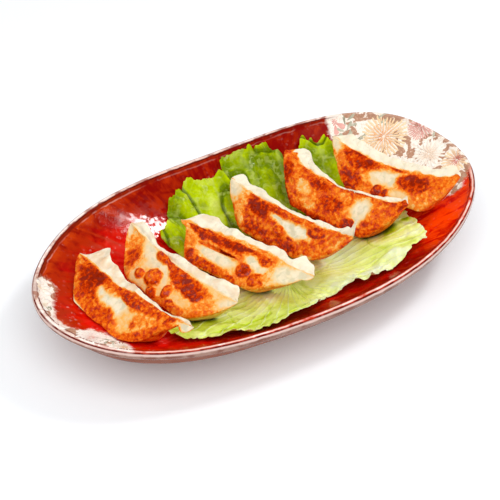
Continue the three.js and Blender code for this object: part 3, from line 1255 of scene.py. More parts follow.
@dataclass
class GeometryBench(Bench):
    """A Geometry Nodes tree that is being put together."""

    entry: bpy.types.Node | None = None  # the node that gives the tree's inputs

    @classmethod
    def start(cls, name: str, sizes: dict[str, float]) -> GeometryBench:
        """Start a tree.

        Args:
            name: The tree's name.
            sizes: Each named input's usual value, whole where it counts something.

        Returns:
            The bench, with its inputs in place.
        """
        tree = bpy.data.node_groups.new(name, "GeometryNodeTree")
        tree.interface.new_socket("Geometry", in_out="INPUT", socket_type="NodeSocketGeometry")
        for label, usual in sizes.items():
            kind = "NodeSocketInt" if isinstance(usual, int) else "NodeSocketFloat"
            entry = tree.interface.new_socket(label, in_out="INPUT", socket_type=kind)
            entry.default_value = usual
        tree.interface.new_socket("Geometry", in_out="OUTPUT", socket_type="NodeSocketGeometry")
        bench = cls(tree)
        bench.entry = bench.node("NodeGroupInput")
        return bench

    def size(self, name: str) -> Signal:
        """Read one of the tree's named inputs."""
        return self.signal(self.entry.outputs[name])

    def close(self, shape: Socket, material: Material) -> None:
        """End the tree with real geometry in its material.

        Args:
            shape: What the tree has made.
            material: The material it takes.
        """
        real = self.node("GeometryNodeRealizeInstances", Geometry=shape)
        painted = self.node(
            "GeometryNodeSetMaterial", Geometry=real.outputs["Geometry"], Material=material
        )
        self.node("NodeGroupOutput", Geometry=painted.outputs["Geometry"])

    def run(self, **sizes: float) -> tuple[Array, list[list[int]]]:
        """Run the tree once and take its mesh.

        Args:
            **sizes: The named inputs to set, with _ for a space.

        Returns:
            The mesh's points as they stand and its faces.
        """
        seed_mesh = bpy.data.meshes.new("seed")
        carrier = stand("seed", seed_mesh)
        step = carrier.modifiers.new("tree", "NODES")
        step.node_group = self.tree
        for entry in self.tree.interface.items_tree:
            label = entry.name.replace(" ", "_")
            if entry.in_out == "INPUT" and label in sizes:
                step[entry.identifier] = sizes[label]
        evaluated = carrier.evaluated_get(bpy.context.evaluated_depsgraph_get())
        mesh = bpy.data.meshes.new_from_object(evaluated)
        points = np.array([v.co for v in mesh.vertices], float).reshape(-1, 3)
        faces = [list(p.vertices) for p in mesh.polygons]
        carrier.modifiers.remove(step)
        bpy.data.objects.remove(carrier)
        bpy.data.meshes.remove(mesh)
        bpy.data.meshes.remove(seed_mesh)
        return points, faces


def petal_ring_tree(material: Material) -> GeometryBench:
    """Make the tree for a ring of plump petals that point away from the middle.

    Args:
        material: What the petals are painted with.

    Returns:
        The tree. Its inputs are in millimetres and degrees.
    """
    sizes = {
        "Petals": 12,
        "Inner Radius": 4.0,
        "Petal Length": 6.0,
        "Petal Width": 2.0,
        "Thickness": 0.2,
        "Turn": 0.0,
        "Fan": 360.0,
        "Unevenness": 0.15,
        "Seed": 0,
    }
    bench = GeometryBench.start("petal_ring", sizes)
    ball = bench.node("GeometryNodeMeshUVSphere", Segments=12, Rings=5, Radius=1.0)
    place = bench.node("GeometryNodeInputPosition").outputs[0]
    parts = bench.node("ShaderNodeSeparateXYZ", Vector=place)
    along, side, up = (bench.signal(parts.outputs[k]) for k in range(3))
    taper = 0.62 + 0.38 * along
    shaped = bench.node(
        "ShaderNodeCombineXYZ",
        X=(along + 1) * 0.5 * bench.size("Petal Length"),
        Y=side * taper * bench.size("Petal Width") * 0.5,
        Z=up * bench.size("Thickness"),
    )
    petal = bench.node(
        "GeometryNodeSetPosition", Geometry=ball.outputs["Mesh"], Position=shaped.outputs[0]
    )
    spots = bench.node("GeometryNodePoints", Count=bench.size("Petals"))
    index = bench.signal(bench.node("GeometryNodeInputIndex").outputs[0])
    drawn = bench.node(
        "FunctionNodeRandomValue", {"data_type": "FLOAT"}, s2=-1.0, s3=1.0, Seed=bench.size("Seed")
    )
    stray = bench.signal(drawn.outputs[1]) * bench.size("Unevenness")
    step = bench.size("Fan") / bench.size("Petals")
    heading = (bench.size("Turn") + (index + stray) * step) * math.radians(1)
    root = bench.size("Inner Radius")
    foot = bench.node("ShaderNodeCombineXYZ", X=heading.cosine() * root, Y=heading.sine() * root)
    placed = bench.node(
        "GeometryNodeSetPosition", Geometry=spots.outputs[0], Position=foot.outputs[0]
    )
    facing = bench.node("ShaderNodeCombineXYZ", Z=heading)
    grown = 1 + stray * 0.7
    scale = bench.node("ShaderNodeCombineXYZ", X=grown, Y=grown, Z=1.0)
    ring = bench.node(
        "GeometryNodeInstanceOnPoints",
        Points=placed.outputs[0],
        Instance=petal.outputs[0],
        Rotation=facing.outputs[0],
        Scale=scale.outputs[0],
    )
    bench.close(ring.outputs[0], material)
    return bench


@dataclass
class PaintedFlowers:
    """Chrysanthemums, daisies, blossoms and leaves in thick enamel on the dish's two ends."""

    dish: OvalDish
    thickness: float = 0.16
    proud: float = 0.1  # how far one ring of petals stands above the ring outside it
    margin: float = 0.6  # how far the enamel stays from a field's outline
    rim_margin: float = 1.7  # and from the rim's side
    enamel: Material | None = None  # mixed by build

    def _leaf(self, tree: GeometryBench, motif: Motif, seed: int) -> list[tuple]:
        """Make a leaf: two fans of blades that leave a bare vein between them.

        Args:
            tree: The tree that makes blades.
            motif: The leaf's size and place.
            seed: Which unevenness it has.

        Returns:
            Points, faces and height of each part.
        """
        parts = []
        steps = 6
        for k, side in itertools.product(range(steps), (-1, 1)):
            share = k / (steps - 1)
            length = motif.radius * (0.25 + 0.5 * math.sin(math.pi * (0.15 + 0.8 * share)))
            points, faces = tree.run(
                Petals=1,
                Inner_Radius=0.0,
                Petal_Length=length,
                Petal_Width=motif.radius * 0.24,
                Thickness=self.thickness,
                Turn=side * (62 - 40 * share),
                Seed=seed + k,
            )
            points[:, 0] += (share * 1.5 - 1) * motif.radius
            points[:, 1] += side * 0.25
            parts.append((points, faces, 0.0))
        return parts

    def _flower(self, tree: GeometryBench, motif: Motif, seed: int) -> list[tuple]:
        """Make a flower of rings of petals.

        Args:
            tree: The tree that makes a ring.
            motif: The flower's kind, size and place.
            seed: Which unevenness it has.

        Returns:
            Points, faces and height of each ring.
        """
        parts = []
        for k, (count, root, length, width) in enumerate(motif.bloom.value):
            points, faces = tree.run(
                Petals=count,
                Inner_Radius=root * motif.radius,
                Petal_Length=length * motif.radius,
                Petal_Width=width * motif.radius,
                Thickness=self.thickness,
                Turn=23.0 * k,
                Seed=seed + k,
            )
            parts.append((points, faces, k * self.proud))
        return parts

    def build(self) -> Piece:
        """Paint every motif, drape it on the dish and join them.

        Returns:
            The flowers as one piece.
        """
        self.enamel = Enamel().make()
        tree = petal_ring_tree(self.enamel)
        all_points, all_faces, tints = [], [], []
        start = 0
        for number, motif in enumerate(MOTIFS):
            make = self._leaf if motif.bloom is Bloom.LEAF else self._flower
            turn = rotation(2, motif.turn)[:2, :2].T
            for points, faces, lift in make(tree, motif, 40 * number):
                out = np.linalg.norm(points[:, :2], axis=1) / motif.radius
                plan = points[:, :2] @ turn + np.array(motif.centre)
                depth = painted_depth(plan[:, 0], plan[:, 1])
                _, _, rim, _ = self.dish.rim(
                    np.arctan2(plan[:, 1] / self.dish.half_width, plan[:, 0] / self.dish.half_length)
                )
                room = rim - np.linalg.norm(plan, axis=1)
                keep = (depth > self.margin) & (room > self.rim_margin)
                whole = self._whole_parts(len(points), faces, keep)
                height = self.dish.top_height(plan[:, 0], plan[:, 1])
                z = height + points[:, 2] + lift + self.thickness * 0.4
                seen = np.nonzero(whole)[0]
                renumber = np.full(len(points), -1)
                renumber[seen] = np.arange(len(seen)) + start
                kept = [[int(renumber[i]) for i in f] for f in faces if whole[f[0]]]
                shade = np.clip(out + 0.5 * soft_noise(points, 2.2, number, 2), 0, 1)
                tint = blend(np.array(motif.heart), np.array(motif.tip), (shade**0.5)[:, None])
                all_points.append(np.column_stack([plan, z])[seen])
                all_faces += kept
                tints.append(tint[seen])
                start += len(seen)
        points = np.concatenate(all_points)
        return plain_mesh("painted_flowers", points, all_faces, {"tint": np.concatenate(tints)})

    @staticmethod
    def _whole_parts(count: int, faces: list[list[int]], keep: Array) -> Array:
        """Find the points of the petals that lie wholly where enamel may be.

        Args:
            count: How many points there are.
            faces: Each face's point numbers.
            keep: Which points may stay.

        Returns:
            Which points belong to a petal that stays whole.
        """
        petal = np.arange(count)
        edges = np.array([(f[i - 1], f[i]) for f in faces for i in range(len(f))])
        for _ in range(24):
            low = np.minimum(petal[edges[:, 0]], petal[edges[:, 1]])
            np.minimum.at(petal, edges[:, 0], low)
            np.minimum.at(petal, edges[:, 1], low)
        spoiled = np.zeros(count, bool)
        np.logical_or.at(spoiled, petal, ~keep)
        return ~spoiled[petal]

    def dress(self, piece: Piece) -> None:
        """Give the flowers their enamel and let them ride on the dish."""
        piece.data.materials.append(self.enamel)
        settle_in(piece, Slot.GLAZE)


# ---- Dumplings ----


@dataclass(frozen=True)
class Mark:
    """One patch on a dumpling's flat face: browned, pale, blistered or dented.

    s runs from -1 at the back tip to 1 at the front tip and v from 0 at the seam to 1 at the
    lower edge. along and across are its half sizes in mm, turn tilts it in degrees, level is
    how brown it is from 0 to 1, and bulge is how far it stands out, or in where negative.
    """

    s: float
    v: float
    along: float
    across: float
    level: float
    turn: float = 0.0
    bulge: float = 0.0


@dataclass(frozen=True)
class Peak:
    """A corner or a notch in an edge: where, and in mm how far out, how long and how lifted."""

    s: float
    out: float
    spread: float
    lift: float = 0.0


def along_edge(peaks: tuple[Peak, ...], s: Array, length: float) -> Array:
    """Add up an edge's corners and notches.

    Args:
        peaks: The corners and notches.
        s: Places along the dumpling, from -1 to 1.
        length: The dumpling's length.

    Returns:
        How far out the edge is moved at each place, in mm.
    """
    total = np.zeros(s.shape)
    for peak in peaks:
        total = total + peak.out * np.exp(-np.abs((s - peak.s) * length / 2 / peak.spread) ** 1.6)
    return total


BARE_BED, LEAFY_BED = 0.8, 2.7  # how far a dumpling lies above the dish, without and with a leaf

# Places round a dumpling's cross-section, counted in its control points: from the seam down the
# fried face, up the back, over the fin and down the fin's front to the seam again.
LOWER_EDGE = 3.0
FINE_STEPS_END = 3.2
DEEPEST = 6.0
HALF_WAY = 7.0
FIN_STARTS = 9.0
FIN_FRONT = 11.0
SEAM_AGAIN = 13.0


@dataclass(frozen=True)
class Gyoza:
    """One dumpling, placed by the middle of its seam, with the marks of the pan on its face.

    A pair gives the number at the back tip and at the front tip, and fin gives the fin's reach at
    the back tip, in the middle and at the front tip.
    """

    name: str
    seam: Triple  # where the middle of its seam is
    turn: Triple  # yaw, tilt and pitch, in degrees
    size: Triple  # length, width and depth
    fin: Triple
    taper: Pair  # how far out it starts to narrow, as a share of half its length
    bow: float  # how far the tips bend towards the fin
    curl: Pair  # how far the tips rise out of the face
    phase: float  # which waves and noise it has
    level: float  # how brown its face is between the marks
    marks: tuple[Mark, ...]
    tip: Pair = (0, 0)  # how much of its end is a flat flap, as a share of half its length
    bed: float = LEAFY_BED
    peaks: tuple[Peak, ...] = ()  # along the fin's edge
    corners: tuple[Peak, ...] = ()  # along the face's lower edge
    creep: tuple[Peak, ...] = ()  # how far the crust climbs past the seam
    fold: float = 0.42  # how steeply the fin leans back from the face
    skin: float = 1.8  # about the thickness of the fin and of the flat tips
    tip_width: float = 5.0
    settle: float = 2.0  # how gently it flattens where it meets its bed
    rows: int = 236
    face_steps: int = 104
    body_steps: int = 62
    fin_steps: int = 70

    @property
    def seed(self) -> int:
        """Which noise it has."""
        return int(self.phase * 100)

    def _section(self, s: Array) -> Array:
        """Place the control points of every cross-section.

        Args:
            s: Places along the dumpling, from -1 to 1.

        Returns:
            Points towards the fin and out of the face, by control point and row.
        """
        length, full_width, full_depth = self.size
        out = np.abs(s)
        front = s >= 0

        def pick(pair: Pair) -> Array:
            """Take the back tip's or the front tip's number."""
            return np.where(front, pair[1], pair[0])

        taper, flap = pick(self.taper), pick(self.tip)
        narrowing = np.maximum(0, (out - taper) / (1 - flap - taper))
        full = np.maximum(0, 1 - narrowing**1.6)
        close = np.sqrt(np.maximum(0, 1 - out**14))
        skin = self.skin * close
        edge = 0.5 * skin
        run = np.stack([s * length / 2, 0 * s, 0 * s + 40 * self.phase], axis=-1)
        wobble = soft_noise(run, 13, 3, 2)
        ripple = soft_noise(run, 8.5, 13, 2)
        width = (self.tip_width + (full_width - self.tip_width) * full) * close
        shift = along_edge(self.corners, s, length)
        thinned = np.clip(1 + shift / (width + 1e-3), 0.3, 1) ** 1.5
        width = width + (0.9 * wobble * full + shift) * close
        depth = skin + (full_depth - self.skin) * full**1.1 * close * thinned
        grown = ease(1 - out, 0, 0.2)
        reach = blend(self.fin[1], pick((self.fin[0], self.fin[2])), out**2)
        fin = reach * (0.12 + 0.88 * grown)
        lift = np.zeros_like(s)
        for peak in self.peaks:
            shape = np.exp(-(((s - peak.s) * length / 2 / peak.spread) ** 2))
            fin = fin + peak.out * shape
            lift = lift + peak.lift * shape
        fin = np.maximum(fin + (0.8 + 0.13 * fin) * ripple * grown, 0.6) * close
        wave = np.sin(8.5 * s + self.phase) + 0.6 * np.sin(17 * s + 2 * self.phase)
        droop = (0.9 * wave * grown + 1.3 * ripple * grown - self.fold * fin + lift) * close
        bow = self.bow * out**2
        curl = pick(self.curl) * out**3
        zero = 0 * s
        ring = [
            (zero, zero),
            (-0.3 * width, 0.9 * full),
            (-0.65 * width, 0.9 * full),
            (-0.97 * width, -0.02 * depth),
            (-0.96 * width, -0.24 * depth),
            (-0.8 * width, -0.72 * depth),
            (-0.52 * width, -depth),
            (-0.2 * width, -0.78 * depth),
            (0.02 * width, -0.36 * depth - 0.5 * skin),
            (0.45 * fin, 0.35 * droop - 0.3 * skin - edge),
            (fin, droop - 0.5 * skin),
            (0.55 * fin, 0.5 * droop - 0.15 * skin),
            (0.14 * fin, -0.55 * skin),
        ]
        bow = bow + 0.7 * soft_noise(run, 9, 23, 2) * full
        return np.array([np.stack([a + bow, b + curl], axis=-1) for a, b in ring])

    def _frame(self) -> Array:
        """Give the matrix that turns rows from the dumpling's own axes to the dish's."""
        yaw, tilt, pitch = self.turn
        return (rotation(2, yaw) @ rotation(1, -pitch) @ rotation(0, tilt)).T

    def _browning(self, s: Array, v: Array, above: Array, local: Array) -> tuple[Array, ...]:
        """Work out how brown each point is and how far the pan's marks stand out.

        Args:
            s: Place along the dumpling at each point.
            v: Place across the face at each point.
            above: How far past the seam each point is, in mm.
            local: Each point's place in the dumpling's own axes.

        Returns:
            The browning from 0 to 1, the marks' height in mm, and how blistered it is.
        """
        length, width, _ = self.size
        seed = self.seed
        ragged = soft_noise(local, 5.5, seed, 3)
        torn = soft_noise(local, 2.2, seed + 7, 3)
        level = np.full(s.shape, self.level) + 0.1 * soft_noise(local, 14, seed + 3, 2)
        level = np.maximum(level, 0.42 * np.exp(-(((v - 1.15) / 0.26) ** 2)))
        height, blister = np.zeros(s.shape), np.zeros(s.shape)
        for mark in self.marks:
            turn = math.radians(mark.turn)
            dx = (s - mark.s) * length / 2
            dy = (v - mark.v) * width
            a = (dx * math.cos(turn) + dy * math.sin(turn)) / mark.along
            b = (dy * math.cos(turn) - dx * math.sin(turn)) / mark.across
            away = np.hypot(a, b)
            if mark.bulge > 0:
                away_soft = away + 0.34 * ragged + 0.16 * torn
                ring = np.exp(-(((away_soft - 0.8) / 0.24) ** 2))
                inside = ease(away_soft, 1.2, 0.84)
                level = blend(level, mark.level - 0.08 + 0.06 * ring, inside)
                blister = np.maximum(blister, inside * min(mark.bulge, 1))
                height += 0.8 * mark.bulge * np.clip(1 - away_soft**2, 0, 1) ** 0.7
                height -= 0.15 * mark.bulge * np.exp(-(((away_soft - 1.12) / 0.16) ** 2))
            else:
                soft = 0.5 if mark.level < 0.3 else 0.3
                inside = ease(away + 0.42 * ragged + 0.22 * torn, 1 + soft, 1 - soft)
                level = blend(level, mark.level, inside)
                height += mark.bulge * np.clip(1 - (away + 0.3 * ragged) ** 2, 0, 1) ** 0.5
        crusty = ease(level, 0.16, 0.5)
        fine = soft_noise(local, 1.5, seed + 11, 3)
        brown = level + (0.04 + 0.14 * crusty) * (0.6 * torn + 0.5 * fine) + 0.14 * crusty * ragged
        # Browning runs on past the lower edge over the underside: partly crust, partly painted shade
        # where the underside lies in shadow.
        over_edge = ease(v + 0.1 * ragged + 0.05 * torn, 2.2, 1.6)
        limit = 0.1 + along_edge(self.creep, s, length)
        at_seam = ease(above + 1.3 * ragged + 0.9 * torn, limit + 1.5, limit - 0.6)
        brown = brown * over_edge * at_seam
        return np.clip(brown, 0, 1), height, blister * over_edge

    def _relief(
        self, s: Array, c: Array, parts: tuple[Array, ...], local: Array, brown: Array, marks: Array
    ) -> Array:
        """Work out how far the skin stands out: blisters, crust, pleats and soft dents.

        Args:
            s: Place along the dumpling at each point.
            c: Place round the cross-section, counted in control points.
            parts: How far each point belongs to the fried face, the fin and the back.
            local: Each point's place in the dumpling's own axes.
            brown: How brown each point is.
            marks: How far the pan's marks stand out.

        Returns:
            The height of the relief at each point, in mm, fading out at the tips.
        """
        seed = self.seed
        on_face, on_fin, on_back = parts
        crusty = ease(brown, 0.2, 0.55)
        drift = 1.2 * soft_noise(local, 18, seed + 5, 1)
        pleat = np.sin(s * self.size[0] / 2 * 0.78 + drift + self.phase)
        relief = marks * on_face
        relief += on_face * crusty * (0.55 * soft_noise(local, 2.0, seed + 21, 3) + 0.15)
        relief += 0.8 * soft_noise(local, 12, seed + 25, 3) * (on_face + on_back)
        relief += on_fin * (0.9 * soft_noise(local, 8, seed + 29, 3) + 0.25 * pleat)
        relief += on_back * (np.abs(pleat) ** 0.6 - 0.6) * ease(c, 5.2, 8.2)
        return relief * np.sqrt(np.maximum(0, 1 - s**8))

    def build(self, dish: OvalDish) -> Piece:
        """Model the dumpling.

        Args:
            dish: The dish it lies in.

        Returns:
            The dumpling as one closed piece.
        """
        share = np.linspace(0, 1, self.rows)
        s_row = 0.45 * -np.cos(share * math.pi) + 0.55 * (2 * share - 1)
        face = np.linspace(0, FINE_STEPS_END, self.face_steps, endpoint=False)
        body = np.linspace(FINE_STEPS_END, FIN_STARTS, self.body_steps, endpoint=False)
        fin = np.linspace(FIN_STARTS, SEAM_AGAIN, self.fin_steps, endpoint=False)
        c_row = np.concatenate([face, body, fin])
        ring = catmull_rom(self._section(s_row), c_row, True).transpose(1, 0, 2)
        s = np.broadcast_to(s_row[:, None], ring.shape[:2])
        c = np.broadcast_to(c_row[None], ring.shape[:2])
        local = np.concatenate([(s * self.size[0] / 2)[..., None], ring], axis=-1)
        v = np.where(c < HALF_WAY, c / LOWER_EDGE, (c - SEAM_AGAIN) / LOWER_EDGE)
        past_seam = ring[..., 0] - self.bow * s**2
        above = np.where(c > FIN_FRONT, past_seam, np.where(c > DEEPEST, FAR, -FAR))
        brown, marks, blister = self._browning(s, v, above, local)
        on_face = ease(c, 3.9, 3.1) + ease(c, 12.5, 12.95)
        on_fin = ease(c, 9.2, 10.2) * ease(c, 12.95, 12.5)
        on_back = ease(c, 4.6, 6.5) * ease(c, 10.0, 9.0)
        relief = self._relief(s, c, (on_face, on_fin, on_back), local, brown, marks)
        local = local - grid_normals(local, True) * relief[..., None]
        placed = local @ self._frame() + np.array(self.seam)
        bed = dish.inside_height(placed[..., 0], placed[..., 1]) + self.bed
        above = placed[..., 2] - bed - self.settle
        pressed = bed + self.settle * np.exp(np.minimum(above, 0) / self.settle)
        placed[..., 2] = np.where(above >= 0, placed[..., 2], pressed)
        # Painted light and shade: the fin takes its pale colour fully towards its edge and only
        # partly near the seam.
        painted_fin_light = 0.45 + 0.55 * ease(past_seam, 0.5, 7.0)
        crimp = np.clip(on_fin * painted_fin_light + 0.5 * on_back, 0, 1)
        fields = {"brown": brown, "fin": crimp, "blister": blister * on_face}
        return closed_skin(f"{self.name}_dressed", placed, fields)

    def dress(self, piece: Piece, crust: Material) -> None:
        """Fry the dumpling and let it stand for its solid."""
        piece.data.materials.append(crust)
        settle_in(piece, Slot.DOUGH, self.name)


